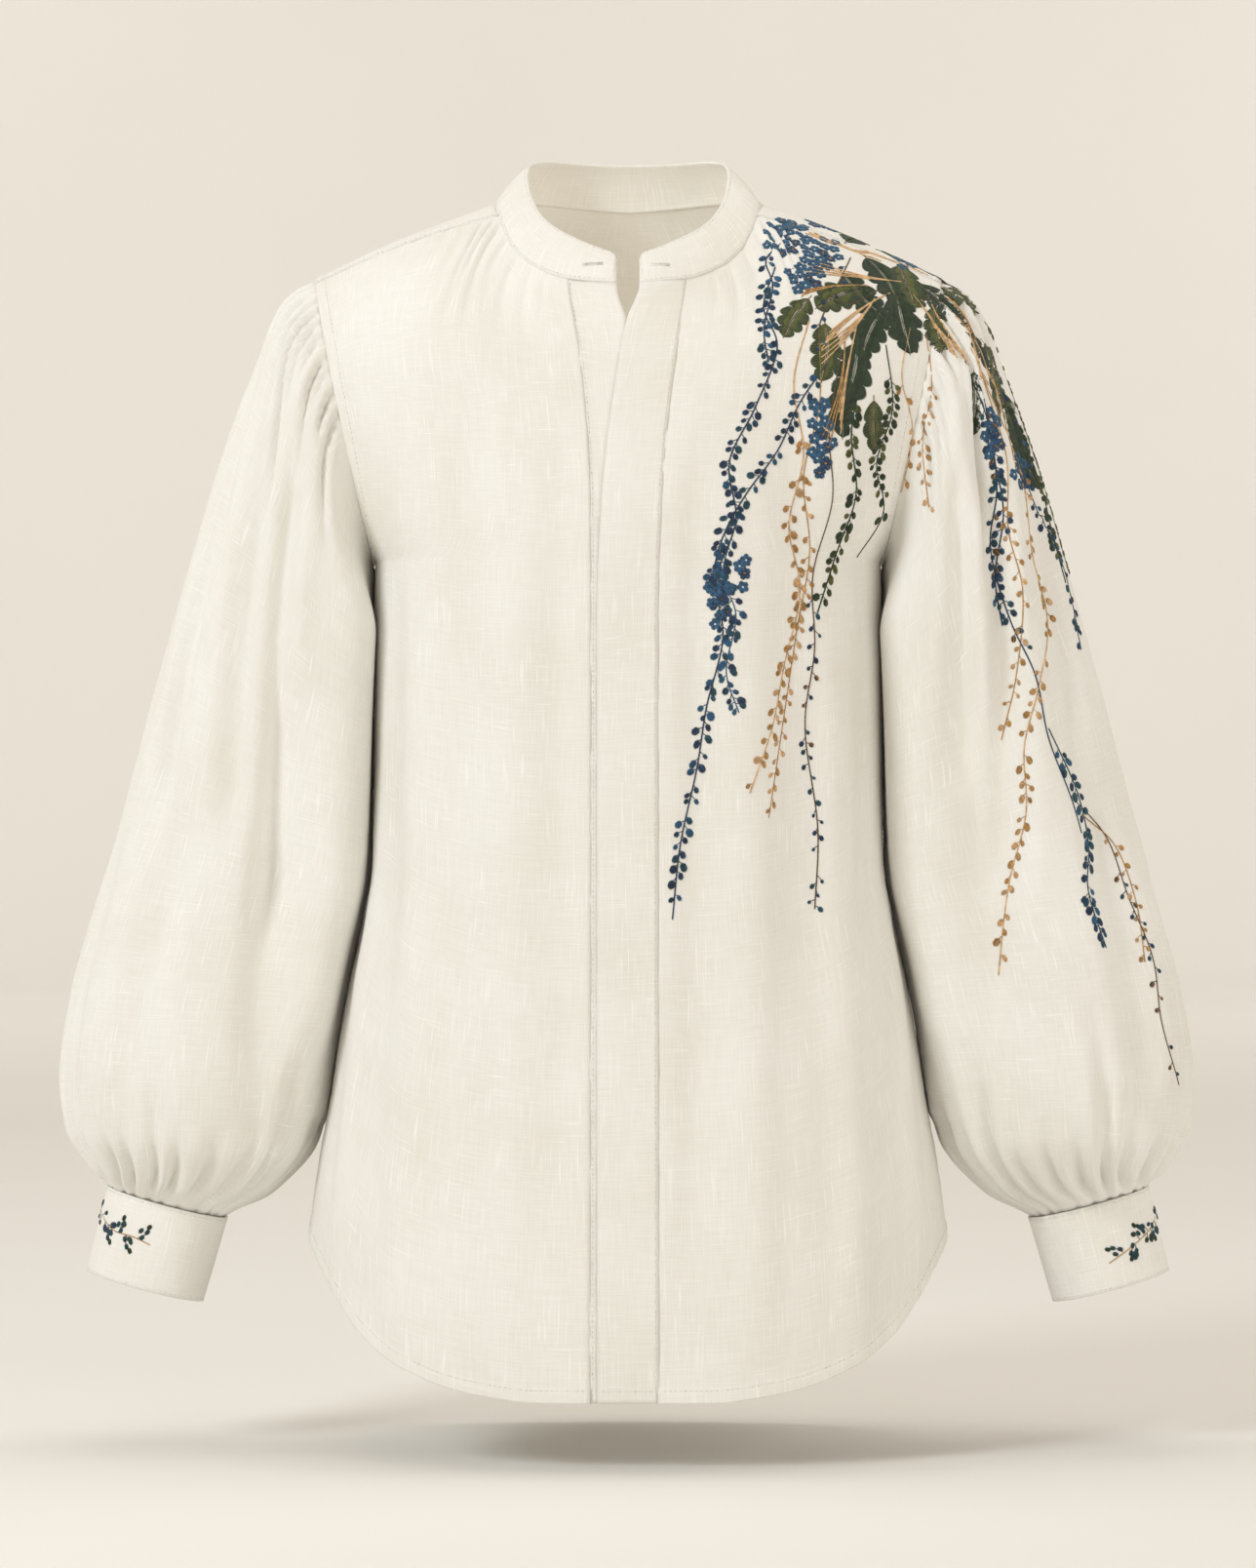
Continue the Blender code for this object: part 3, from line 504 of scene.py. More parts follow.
def chest_lead(share):
    corner = NECK_CORNER_SHARE
    ease = smoothstep(corner * 0.4, corner * 1.3, share)
    out = lerp(NECK_LEAD[0], YOKE_LEAD[0], ease)
    down = lerp(NECK_LEAD[1], YOKE_LEAD[1], ease)
    turn = np.radians(lerp(25.0, 60.0, np.clip(share / corner, 0, 1)))
    side = np.where(share < corner, np.sin(turn), 0.25 + (math.sin(math.radians(60)) - 0.25)
                    * (1 - smoothstep(corner, corner * 1.3, share)))
    return unit(joined(out * side * (1 - ease * 0.6), -out, -down))


def chest_points(share, level, sewn_column):
    """Points between a front's top edge, level 0, and the chest line, level 1."""
    start_x = abs(placket_edge[sewn_column](CHEST_Z))
    flat = np.full_like(share, CHEST_Z)
    top = chest_top(share)
    chest = body_points("front", share, flat, start_x)
    below = body_points("front", share, flat - CHEST_STEP, start_x)
    reach = np.linalg.norm(chest - top, axis=-1, keepdims=True)
    lead_in = chest_lead(share) * reach
    lead_out = unit(below - chest) * reach
    t = level[..., None]
    points = (top * ((1 + 2 * t) * (1 - t) ** 2) + lead_in * (t * (1 - t) ** 2)
              + chest * (t * t * (3 - 2 * t)) + lead_out * (t * t * (t - 1)))
    inner_z = lerp(chest_top(np.zeros(1))[0, 2], CHEST_Z, level[:, :1])
    inner = centre_front(np.abs(placket_edge[sewn_column](inner_z)), inner_z)
    outer = armhole_points("front", lerp(YOKE_ARM_Z, CHEST_Z, level[:, :1]))
    near_inner = np.clip(1 - share / 0.2, 0, 1) ** 2
    near_outer = np.clip((share - 0.8) / 0.2, 0, 1) ** 2
    points = points + near_inner[..., None] * (inner - points[:, :1])
    return points + near_outer[..., None] * (outer - points[:, -1:])


# Grids of points

def arc(points, axis):
    """Distance along the grid's lines in one direction, from the first line."""
    steps = np.linalg.norm(np.diff(points, axis=axis), axis=-1)
    pad = [(0, 0), (0, 0)]
    pad[axis] = (1, 0)
    return np.cumsum(np.pad(steps, pad), axis=axis)


def grid_normals(points, closed, sign):
    """Unit normals of a grid; sign turns them outward."""
    if closed:
        wrapped = np.concatenate([points[:, -1:], points, points[:, :1]], axis=1)
        across = np.gradient(wrapped, axis=1)[:, 1:-1]
    else:
        across = np.gradient(points, axis=1)
    down = np.gradient(points, axis=0)
    return unit(np.cross(across, down)) * sign


def line_reach(points):
    """Distance to each point along a line of points."""
    return np.append(0, np.cumsum(np.linalg.norm(np.diff(points, axis=0), axis=1)))


def at_reach(value, reach, points):
    """The point at one distance along a line of points."""
    return np.array([np.interp(value, reach, points[:, axis]) for axis in range(3)])


class Shell:
    """One piece of cloth: its grid of outer points, outward normals and cloth distances."""

    def __init__(self, points, sign, closed=False):
        self.closed = closed
        self.sign = sign
        self.across = arc(points, 1)
        self.down = arc(points, 0)
        self.points = points
        self.normals = grid_normals(points, closed, sign)

    def raise_by(self, relief):
        self.points = self.points + self.normals * np.asarray(relief)[..., None]

    def finish(self):
        self.normals = grid_normals(self.points, self.closed, self.sign)

    def from_foot(self):
        return self.down[-1:] - self.down

    def from_last(self):
        return self.across[:, -1:] - self.across

    def from_ends(self):
        return np.minimum(self.across, self.from_last())

    def surface(self, lift=0.0):
        return self.points + self.normals * lift


def grid_quads(shell):
    """Corner numbers of the quads of a shell's grid, and the columns at their left."""
    rows, columns = shell.points.shape[:2]
    index = np.arange(rows * columns).reshape(rows, columns)
    left = np.arange(columns) if shell.closed else np.arange(columns - 1)
    right = (left + 1) % columns
    quads = np.stack([index[:-1, left], index[:-1, right], index[1:, right], index[1:, left]], -1)
    return quads, left


def add_piece(name, mesh, material, node=None, wall=0.0):
    """Adds a piece to the part's body; node is the solid it stands for."""
    mesh.shade_smooth()
    mesh.materials.append(material)
    piece = bpy.data.objects.new(name, mesh)
    bpy.context.scene.collection.objects.link(piece)
    if wall:
        solid = piece.modifiers.new("wall", "SOLIDIFY")
        solid.thickness = wall * MM
        solid.offset = 1.0
        solid.use_even_offset = False
    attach(piece, "root")
    if node:
        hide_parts(node)
    return piece


def cloth_piece(node, shell, wall, uv_shift):
    """A thin closed wall on the shell's points, with cloth coordinates in metres."""
    inner = shell.surface(WALL_BASE)
    quads, left = grid_quads(shell)
    across = shell.across.mean(0)
    if shell.closed:
        step = np.linalg.norm(inner[:, 0] - inner[:, -1], axis=-1).mean()
        across_right = np.append(across[1:], across[-1] + step)
    else:
        across_right = across[1:]
    down = shell.down.mean(1)
    u_left = np.broadcast_to(across[left], quads.shape[:2])
    u_right = np.broadcast_to(across_right[:len(left)], quads.shape[:2])
    v_top = np.broadcast_to(down[:-1, None], quads.shape[:2])
    v_foot = np.broadcast_to(down[1:, None], quads.shape[:2])
    u = np.stack([u_left, u_right, u_right, u_left], -1)
    v = np.stack([v_top, v_top, v_foot, v_foot], -1)
    if shell.sign < 0:
        quads = quads[..., ::-1]
        u = u[..., ::-1]
        v = v[..., ::-1]
    mesh = bpy.data.meshes.new(node + "_linen")
    mesh.from_pydata((inner.reshape(-1, 3) * MM).tolist(), [], quads.reshape(-1, 4).tolist())
    layer = mesh.uv_layers.new(name="cloth")
    uv = np.stack([u * MM + uv_shift[0], v * MM + uv_shift[1]], -1)
    layer.uv.foreach_set("vector", uv.reshape(-1).astype(np.float32))
    return add_piece(node + "_linen", mesh, linen, node, wall)


def wall_of(name):
    return BAND_WALLS.get(name, WALL)


def mirror(shell):
    shell.points = shell.points * np.array([-1, 1, 1])
    shell.sign = -shell.sign
    shell.finish()


def neck_gathers(gathers, place, drop):
    """Valleys that fan out of a gathered seam; place is the share and drop is in mm."""
    relief = 0.0
    for gather in gathers:
        progress = drop / gather.reach
        centre = gather.share + gather.drift * progress
        spread = gather.spread * (0.7 + 0.8 * progress)
        fade = smoothstep(0.0, 0.10, progress) * (1 - smoothstep(0.35, 1.0, progress))
        relief = relief + gather.height * bump((place - centre) / spread) * fade
        relief = relief - 0.35 * gather.height * bump((place - centre - spread) / spread) * fade
    return relief


def side_crowded(columns):
    """Shares from 0 to 1, closer together near the side seam, where the strips are narrow."""
    narrow = columns // 9
    wide = np.linspace(0, SIDE_CROWD_SHARE, columns - narrow + 1)
    return np.append(wide, np.linspace(SIDE_CROWD_SHARE, 1, narrow + 1)[1:])


def falls(top_z, rows):
    """Shares of the way down: one row meets the armhole's foot, and rows crowd at the hem."""
    foot_share = (top_z - ARMHOLE_FOOT[1]) / (top_z - SIDE_TIP_Z)
    arm_rows = rows // 4
    hem_rows = rows // 8
    low_rows = rows - arm_rows - hem_rows
    arm = foot_share * np.sin(np.linspace(0, np.pi / 2, arm_rows + 1))
    low = np.linspace(0, 1, low_rows + 1)
    low = lerp(foot_share, HEM_CROWD_SHARE, low - 0.05 * np.sin(2 * np.pi * low))
    hem = np.linspace(HEM_CROWD_SHARE, 1, hem_rows + 1)
    return np.concatenate([arm, low[1:], hem[1:]])


def strip_edge(distance, shown):
    """The raised strip along an armhole, with its row of stitches."""
    rise = 1 - smoothstep(STRIP_WIDTH - 0.8, STRIP_WIDTH + 0.5, distance)
    return STRIP_RISE * rise * shown + ditch(distance, STRIP_STITCH) * shown


def panel_edges(shell, from_side, side_z):
    """Relief of a body panel's armhole strip, side seam and hem."""
    from_hem = shell.from_foot()
    on_arm = smoothstep(*ARM_SEAM_ENDS, side_z)
    side_seam = ditch(from_side, SIDE_STITCH) * (1 - on_arm)
    side_seam = side_seam + side_close(shell.points[..., 2], from_side)
    hem = HEM_RISE * (1 - smoothstep(HEM_WIDTH - 0.8, HEM_WIDTH + 0.6, from_hem))
    hem = hem + HEM_DITCH * ditch(from_hem, HEM_STITCH)
    return strip_edge(from_side, on_arm) + side_seam + hem


def front_shell(side, sewn_column):
    columns, chest_rows, low_rows = FRONT_GRID
    share_line = side_crowded(columns)
    level, share = np.meshgrid(np.linspace(0, 1, chest_rows + 1), share_line, indexing="ij")
    chest = chest_points(share, level, sewn_column)
    share_low, fall = np.meshgrid(share_line, falls(CHEST_Z, low_rows)[1:])
    foot = hem_height("front", share_low)
    z = lerp(CHEST_Z, foot, fall)
    start_x = np.abs(placket_edge[sewn_column](z))
    low = body_points("front", share_low, z, start_x)
    points = np.concatenate([chest, low])
    points[..., 1] -= 0.05
    shell = Shell(points, -1)
    share_all = np.broadcast_to(share_line, points.shape[:2])
    from_side = shell.from_last()
    start = np.abs(placket_edge[sewn_column](points[..., 2][:, :1]))
    folds = body_folds(side, shell.across + start, points[..., 2], from_side)
    folds = folds * smoothstep(2.0, 22.0, shell.across)
    yoke_edge = -YOKE_DIP * np.exp(-shell.down / YOKE_DIP_FADE) * smoothstep(0.3, 0.45, share_all)
    relief = panel_edges(shell, from_side, points[..., 2][:, -1:])
    relief = relief + edge_wave("front side", shell.down, from_side)
    relief = relief + edge_wave("front hem", shell.across, shell.from_foot())
    relief = relief + edge_wave("front edge", shell.down, shell.across)
    relief = relief + yoke_edge + folds
    relief = relief + neck_gathers(FRONT_GATHERS[side], share_all, shell.down)
    shell.raise_by(relief)
    shell.finish()
    return shell


def back_shell():
    columns, rows = BACK_GRID
    half_line = side_crowded(columns // 2)
    place_line = np.concatenate([-half_line[:0:-1], half_line])
    place, fall = np.meshgrid(place_line, falls(YOKE_BACK_Z, rows))
    share = np.abs(place)
    z = lerp(YOKE_BACK_Z, hem_height("back", share), fall)
    points = body_points("back", share, z)
    points[..., 0] *= np.sign(place)
    points[..., 1] += 0.05
    shell = Shell(points, 1)
    from_side = shell.from_ends()
    middle = shell.across[:, columns // 2:columns // 2 + 1]
    folds = body_folds("back", shell.across - middle, points[..., 2], from_side)
    relief = panel_edges(shell, from_side, points[..., 2][:, :1])
    relief = relief + edge_wave("back side", shell.down, from_side)
    relief = relief + edge_wave("back hem", shell.across, shell.from_foot())
    relief = relief - YOKE_DIP * np.exp(-shell.down / YOKE_DIP_FADE) + folds
    relief = relief + neck_gathers(BACK_GATHERS, place, shell.down)
    shell.raise_by(relief)
    shell.finish()
    return shell


def yoke_shell():
    columns, rows = YOKE_GRID
    half = columns // 2
    arm = int(half * 0.42)
    arm_angles = np.linspace(YOKE_NECK_ANGLE, YOKE_TURN_ANGLE, arm + 1)[:-1]
    arm_angles[0] -= YOKE_LAP_ANGLE
    rear_angles = np.linspace(YOKE_TURN_ANGLE, 180, half - arm + 1)
    angles = np.concatenate([arm_angles, rear_angles])
    angle, share = np.meshgrid(angles, np.linspace(0, 1, rows + 1))
    on_rear = smoothstep(YOKE_TURN_ANGLE - 2, YOKE_TURN_ANGLE + 4, angle)
    share = share * (1 + YOKE_LAP_SHARE * on_rear)
    left = yoke_points(angle, share)
    right = left[:, -2::-1] * np.array([-1, 1, 1])
    points = np.concatenate([left, right], axis=1)
    shell = Shell(points, -1)
    from_front = shell.from_ends()
    from_outer = shell.from_foot()
    on_arm = np.minimum(np.arange(columns + 1), np.arange(columns + 1)[::-1]) < arm
    seam = ditch(from_outer, YOKE_STITCH) * (1 - on_arm) + ditch(from_front, 1.8)
    wave = edge_wave("yoke front", shell.down, from_front)
    wave = wave + edge_wave("yoke outer", shell.across, from_outer)
    wave = wave + edge_wave("yoke neck", shell.across, shell.down)
    shell.raise_by(YOKE_RISE + strip_edge(from_outer, on_arm) + seam + wave)
    shell.finish()
    return shell


def placket_shell(layer):
    """The over or the under strip; its free edge may lie higher than its sewn one."""
    free_column = layer + "_free"
    sewn_column = layer + "_sewn"
    free_lift, sewn_lift = PLACKET_LIFTS[layer]
    columns, rows = PLACKET_GRID
    share_line = np.linspace(0, 1, columns + 1)
    level_line = np.linspace(0, 1, rows + 1)
    share, level = np.meshgrid(share_line, level_line)
    top_x = lerp(placket_edge[free_column](-50.0), placket_edge[sewn_column](-50.0), share)
    z = lerp(neck_z(neck_angle(np.abs(top_x))), HEM[0].front, level)
    lap = PLACKET_LAP if layer == "over" else -PLACKET_LAP
    x = lerp(placket_edge[free_column](z), placket_edge[sewn_column](z) + lap, share)
    points = centre_front(x, z)
    points[..., 1] -= lerp(free_lift, sewn_lift, smoothstep(0.84, 1.0, share))
    shell = Shell(points, -1 if layer == "over" else 1)
    from_sewn = shell.from_last()
    wave = edge_wave("placket free", shell.down, shell.across)
    wave = wave + edge_wave("placket sewn", shell.down, from_sewn)
    wave = wave + 0.25 * wavy(shell.down, 83.0, 2.2)
    shell.raise_by(wave + ditch(from_sewn, 1.6) + ditch(shell.from_foot(), HEM_STITCH))
    shell.finish()
    return shell


def collar_shell():
    columns, rows = COLLAR_GRID
    start = neck_angle(COLLAR_OPENING)
    top_start = math.degrees(math.asin(COLLAR_OPENING / COLLAR_HALF_WIDTH))
    step = np.linspace(0, 1, columns + 1)
    spread = step + 0.012 * np.sin(4 * np.pi * step)
    level_line = np.linspace(COLLAR_LAP, 1, rows + 1)
    angle, level = np.meshgrid(lerp(start, 360 - start, spread), level_line)
    base = neck_points(angle)
    folded = np.where(angle <= 180, angle, 360 - angle)
    top_angle = lerp(top_start, 180, (folded - start) / (180 - start))
    turn = np.radians(top_angle)
    depth = np.where(np.cos(turn) > 0, COLLAR_FRONT, COLLAR_BACK)
    side = np.where(angle <= 180, 1, -1)
    top_x = side * COLLAR_HALF_WIDTH * np.sin(turn)
    top = joined(top_x, -depth * np.cos(turn), collar_top_z(top_angle))
    flat = lerp(base, top, level[..., None])
    from_start = arc(flat, 1)
    from_end = np.minimum(from_start, from_start[:, -1:] - from_start)[-1]
    height = np.linalg.norm(top - base, axis=-1)[0]
    inside = np.clip(COLLAR_CORNER - from_end, 0, None)
    cut = COLLAR_CORNER - np.sqrt(np.clip(COLLAR_CORNER ** 2 - inside ** 2, 0, None))
    level = level * (1 - cut / height)
    out = unit(joined(np.sin(np.radians(angle)), -np.cos(np.radians(angle)), 0.6))
    bow = (COLLAR_BOW * 4 * level * (1 - level))[..., None] * out
    shell = Shell(lerp(base, top, level[..., None]) + bow, 1)
    crease = 0.55 * wavy(shell.across + shell.down * 0.9, 34.0, 0.5)
    crease = crease * wavy(shell.across * 0.6 - shell.down, 47.0, 1.1) * bump(level * 2 - 1)
    edge = edge_wave("collar foot", shell.across, shell.down)
    seam = ditch(shell.down, 1.8)
    for distance in (shell.from_foot(), shell.from_ends()):
        seam = seam + COLLAR_DITCH * ditch(distance, 2.2)
    shell.raise_by(crease + edge + seam)
    shell.finish()
    return shell


def close_side(sleeve, body, turn, along):
    """Brings the sleeve's underarm line out to a small clearance beside the body."""
    sleeve_line = sleeve.surface(WALL_BASE + WALL)[:, 0]
    body_line = body.surface(WALL_BASE + WALL)[:, -1]
    body_side = np.interp(-sleeve_line[:, 2], -body_line[:, 2], body_line[:, 0])
    push = np.clip(sleeve_line[:, 0] - body_side - SIDE_CLEARANCE, 0, SIDE_PUSH_MOST)
    push = push * window(*SIDE_PUSH_WAY, along[:, 0])
    from_under = 180 - np.abs(turn)
    sleeve.raise_by(push[:, None] * np.exp(-(from_under / SIDE_PUSH_ANGLE) ** 2))
    sleeve.finish()


def cap_gathers(seed):
    """Uneven gathers under the cap seam: they lean to hang straight down, and some run on."""
    rng = random.Random(seed)
    gathers = []
    for i in range(CAP_GATHERS):
        centre = -CAP_HALF_ANGLE + 2 * CAP_HALF_ANGLE * (i + 0.5) / CAP_GATHERS
        centre += rng.uniform(-1.6, 1.6)
        lean = 0.17 * math.tanh(centre / 8) + 0.0013 * centre + rng.uniform(-0.03, 0.03)
        size = CAP_LONG if i % 3 == 1 and abs(centre) < LONG_GATHER_ANGLE else CAP_SHORT
        reach = rng.uniform(*size.reach)
        height = rng.uniform(*size.height)
        gathers.append((centre, rng.uniform(*size.spread), lean, reach, height))
    return gathers


def cuff_gathers(seed):
    rng = random.Random(seed)
    gathers = []
    for i in range(CUFF_GATHERS):
        centre = 360 * i / CUFF_GATHERS + rng.uniform(-3.4, 3.4)
        size = CUFF_LONG if i % 4 == 1 else CUFF_SHORT
        reach = rng.uniform(*size.reach)
        height = rng.uniform(*size.height)
        gathers.append((centre, rng.uniform(*size.spread), rng.uniform(-0.05, 0.05), reach, height))
    return gathers


def fan(gathers, turn, distance, widen):
    """Valleys that run out from a gathered seam and widen as they fade, with ridges between."""
    relief = np.zeros_like(turn)
    for centre, spread, lean, reach, height in gathers:
        progress = np.clip(distance / reach, 0, 1)
        away = (turn - centre - lean * distance + 180) % 360 - 180
        width = spread * (1 + widen * progress)
        fade = smoothstep(0.0, 14.0, distance) * (1 - smoothstep(0.25, 1.0, progress))
        relief -= height * (0.22 * np.exp(-distance / 5.0) + fade) * bump(away / width)
        relief += 0.35 * height * fade * bump((np.abs(away) - 1.2 * width) / width)
    return relief


def sleeve_shell(side, body):
    columns, rows = SLEEVE_GRID
    step = np.arange(columns) / columns
    turn_line = -180 + 360 * (step - CAP_CROWD * np.sin(2 * np.pi * (step - 0.5)) / (2 * np.pi))
    fallen = np.linspace(0, 1, rows + 1)
    along_line = SLEEVE_LENGTH * (fallen - END_CROWD * np.sin(2 * np.pi * fallen))
    turn, along = np.meshgrid(turn_line, along_line)
    outer = joined(ring_curve["outer_x"](along), 0.0, ring_curve["outer_z"](along))
    inner = joined(ring_curve["inner_x"](along), 0.0, ring_curve["inner_z"](along))
    angle = np.radians(turn)
    depth = ring_curve["depth"](along)
    at_seam = np.where(np.sin(angle) >= 0, ARMHOLE_DEPTH["front"], ARMHOLE_DEPTH["back"])
    depth = depth + (at_seam - SLEEVE[0].depth) * np.clip(1 - along / SEAM_REACH, 0, 1)
    half = (outer - inner) / 2
    points = (outer + inner) / 2 + half * np.cos(angle)[..., None]
    points = points + joined(0, -depth * np.sin(angle), 0)
    away = unit(np.array([ARMHOLE_TOP[1] - ARMHOLE_FOOT[1], 0, ARMHOLE_FOOT[0] - ARMHOLE_TOP[0]]))
    under = ((1 - np.cos(angle)) / 2) ** 1.5
    gap = lerp(SLEEVE_GAP_TOP - SLEEVE_TUCK, SLEEVE_GAP_FOOT, under)
    points = points + away * (gap * np.clip(1 - along / SEAM_REACH, 0, 1))[..., None]
    shell = Shell(points, 1, closed=True)
    seed = GATHER_SEEDS[side]
    relief = fan(cap_gathers(seed), turn, along, CAP_WIDEN)
    relief = relief + fan(cuff_gathers(seed + 20), turn, SLEEVE_LENGTH - along, CUFF_WIDEN)
    for fold in SLEEVE_FOLDS[side]:
        progress = (along - fold.top) / (fold.foot - fold.top)
        centre = fold.angle + fold.drift * progress
        away_turn = (turn - centre + 180) % 360 - 180
        shown = window(fold.top, fold.foot, SLEEVE_FOLD_FADE, along)
        relief = relief + FOLD_STRENGTH * fold.height * bump(away_turn / fold.spread) * shown
    inner_side = smoothstep(*INNER_TURNS, np.abs(turn)) * (1 - smoothstep(*INNER_END, along))
    relief = relief * (1 - INNER_CALM * inner_side)
    rise = lerp(*INNER_RISE, smoothstep(*INNER_RISE_WAY, along))
    relief = relief + rise * inner_side * smoothstep(*INNER_START, along)
    roll = bump((np.abs(turn) - INNER_ROLL.angle) / INNER_ROLL.spread)
    shown = window(INNER_ROLL.top, INNER_ROLL.foot, INNER_ROLL_FADE, along)
    relief = relief + INNER_ROLL.height * roll * shown
    relief = relief - TUCK_DEPTH * (1 - smoothstep(0, TUCK_REACH, along)) * (1 - under)
    shell.raise_by(relief)
    shell.finish()
    close_side(shell, body, turn, along)
    shell.points[-1] += unit(shell.points[-1] - shell.points[-3]) * CUFF_TUCK
    shell.turn = turn
    shell.along = along
    return shell


def cuff_points(turn, level, lift):
    top = np.array([CUFF_TOP[0], 0, CUFF_TOP[1]])
    foot = np.array([CUFF_FOOT[0], 0, CUFF_FOOT[1]])
    axis = unit(foot - top)
    across = np.array([-axis[2], 0, axis[0]])
    width = lerp(CUFF_HALF_WIDTH[0], CUFF_HALF_WIDTH[1], level) + lift
    depth = lerp(CUFF_HALF_DEPTH[0], CUFF_HALF_DEPTH[1], level) + lift
    angle = np.radians(turn)
    return (top + (foot - top) * level[..., None] + across * (width * np.cos(angle))[..., None]
            + joined(0, -depth * np.sin(angle), 0))


def cuff_shell(phase):
    columns, rows = CUFF_GRID
    turned_line = np.linspace(0, 360 + CUFF_LAP, columns + 1)
    turned, level = np.meshgrid(turned_line, np.linspace(0, 1, rows + 1))
    lift = CUFF_LIFT * smoothstep(LAP_RISE[0], LAP_RISE[1], turned)
    shell = Shell(cuff_points(CUFF_START + turned, level, lift), 1)
    seam = 0.0
    for distance in (shell.down, shell.from_foot(), shell.from_ends()):
        seam = seam + CUFF_DITCH * ditch(distance, BAND_STITCH)
    wave = 0.32 * wavy(shell.across, 13.0, phase) * np.exp(-shell.down / 9.0)
    slant = wavy(shell.across + 0.5 * shell.down, 41.0, phase + 1)
    wave = wave + 0.20 * slant * bump(level * 2 - 1)
    shell.raise_by(seam + wave)
    shell.finish()
    return shell


# Materials

class Look:
    """A node material with a few short ways to add and join nodes."""

    def __init__(self, name, colour, roughness):
        self.material = bpy.data.materials.new(name)
        self.material.use_nodes = True
        self.tree = self.material.node_tree
        self.shader = self.tree.nodes["Principled BSDF"]
        self.shader.inputs["Base Color"].default_value = (*colour, 1)
        self.shader.inputs["Roughness"].default_value = roughness
        self.material.diffuse_color = (*colour, 1)

    def add(self, kind, **settings):
        node = self.tree.nodes.new("ShaderNode" + kind)
        for key, value in settings.items():
            setattr(node, key, value)
        return node

    def settings(self, values):
        """Sets constant inputs of the shader."""
        for name, value in values.items():
            self.shader.inputs[name].default_value = value

    def link(self, output, target):
        self.tree.links.new(output, target)

    def cloth_coordinates(self):
        return self.add("UVMap", uv_map="cloth").outputs["UV"]

    def noise(self, vector, scale, detail=2.0, rough=0.5):
        """Noise stretched by a scale for each axis, in waves a metre."""
        mapping = self.add("Mapping")
        mapping.inputs["Scale"].default_value = scale
        self.link(vector, mapping.inputs["Vector"])
        noise = self.add("TexNoise")
        noise.inputs["Scale"].default_value = 1.0
        noise.inputs["Detail"].default_value = detail
        noise.inputs["Roughness"].default_value = rough
        self.link(mapping.outputs["Vector"], noise.inputs["Vector"])
        return noise.outputs["Fac"]

    def ramp(self, value, *stops):
        ramp = self.add("ValToRGB")
        elements = ramp.color_ramp.elements
        while len(elements) < len(stops):
            elements.new(0.5)
        for element, (place, colour) in zip(elements, stops):
            element.position = place
            element.color = (*colour, 1)
        self.link(value, ramp.inputs["Fac"])
        return ramp.outputs["Color"]

    def maths(self, operation, first, second):
        node = self.add("Math", operation=operation)
        for socket, value in zip(node.inputs, (first, second)):
            if isinstance(value, (int, float)):
                socket.default_value = value
            else:
                self.link(value, socket)
        return node.outputs["Value"]

    def multiply(self, first, second, strength):
        node = self.add("Mix", data_type="RGBA", blend_type="MULTIPLY")
        node.inputs["Factor"].default_value = strength
        self.link(first, node.inputs["A"])
        self.link(second, node.inputs["B"])
        return node.outputs["Result"]

    def bump(self, height, strength, distance):
        node = self.add("Bump")
        node.inputs["Strength"].default_value = strength
        node.inputs["Distance"].default_value = distance
        self.link(height, node.inputs["Height"])
        self.link(node.outputs["Normal"], self.shader.inputs["Normal"])


def linen_look():
    """Ivory plain-weave linen: fine threads both ways, pale long slubs and a cloudy tone."""
    look = Look("linen_cloth", (0.88, 0.86, 0.82), 0.9)
    cloth = look.cloth_coordinates()
    warp = look.noise(cloth, (1300, 45, 1), 2)
    weft = look.noise(cloth, (45, 1300, 1), 2)
    warp_slub = look.noise(cloth, (860, 32, 1), 1)
    weft_slub = look.noise(cloth, (46, 860, 1), 1)
    clumps = look.noise(cloth, (40, 12, 1), 2)
    mottle = look.noise(cloth, (16, 11, 1), 3)
    grain = look.noise(cloth, (2300, 2300, 1), 1)
    base = look.ramp(mottle, (0.32, (0.825, 0.814, 0.765)), (0.66, (0.875, 0.870, 0.838)))
    thread = look.maths("MULTIPLY", look.maths("ADD", warp, weft), 0.5)
    thread_tone = look.ramp(thread, (0.34, (0.935, 0.925, 0.905)), (0.62, (1, 1, 1)))
    pale_warp = look.ramp(warp_slub, (0.60, (0, 0, 0)), (0.70, (1, 1, 1)))
    pale_weft = look.ramp(weft_slub, (0.64, (0, 0, 0)), (0.73, (1, 1, 1)))
    pale = look.maths("MAXIMUM", pale_warp, pale_weft)
    clump_tone = look.ramp(clumps, (0.38, (0.2, 0.2, 0.2)), (0.62, (0.9, 0.9, 0.9)))
    pale = look.maths("MULTIPLY", pale, clump_tone)
    colour = look.multiply(base, thread_tone, 1.0)
    brighter = look.add("Mix", data_type="RGBA", blend_type="MIX")
    look.link(pale, brighter.inputs["Factor"])
    look.link(colour, brighter.inputs["A"])
    brighter.inputs["B"].default_value = (0.935, 0.93, 0.895, 1)
    look.link(brighter.outputs["Result"], look.shader.inputs["Base Color"])
    height = look.maths("ADD", look.maths("MULTIPLY", pale, 0.8), thread)
    height = look.maths("ADD", height, look.maths("MULTIPLY", grain, 0.5))
    look.bump(height, 0.35, 0.0003)
    look.settings({"Sheen Weight": 0.1, "Sheen Roughness": 0.5, "Specular IOR Level": 0.25,
                   "Subsurface Weight": 0.08, "Subsurface Radius": (1.0, 0.90, 0.75),
                   "Subsurface Scale": 0.002})
    return look.material


# Cloth pieces

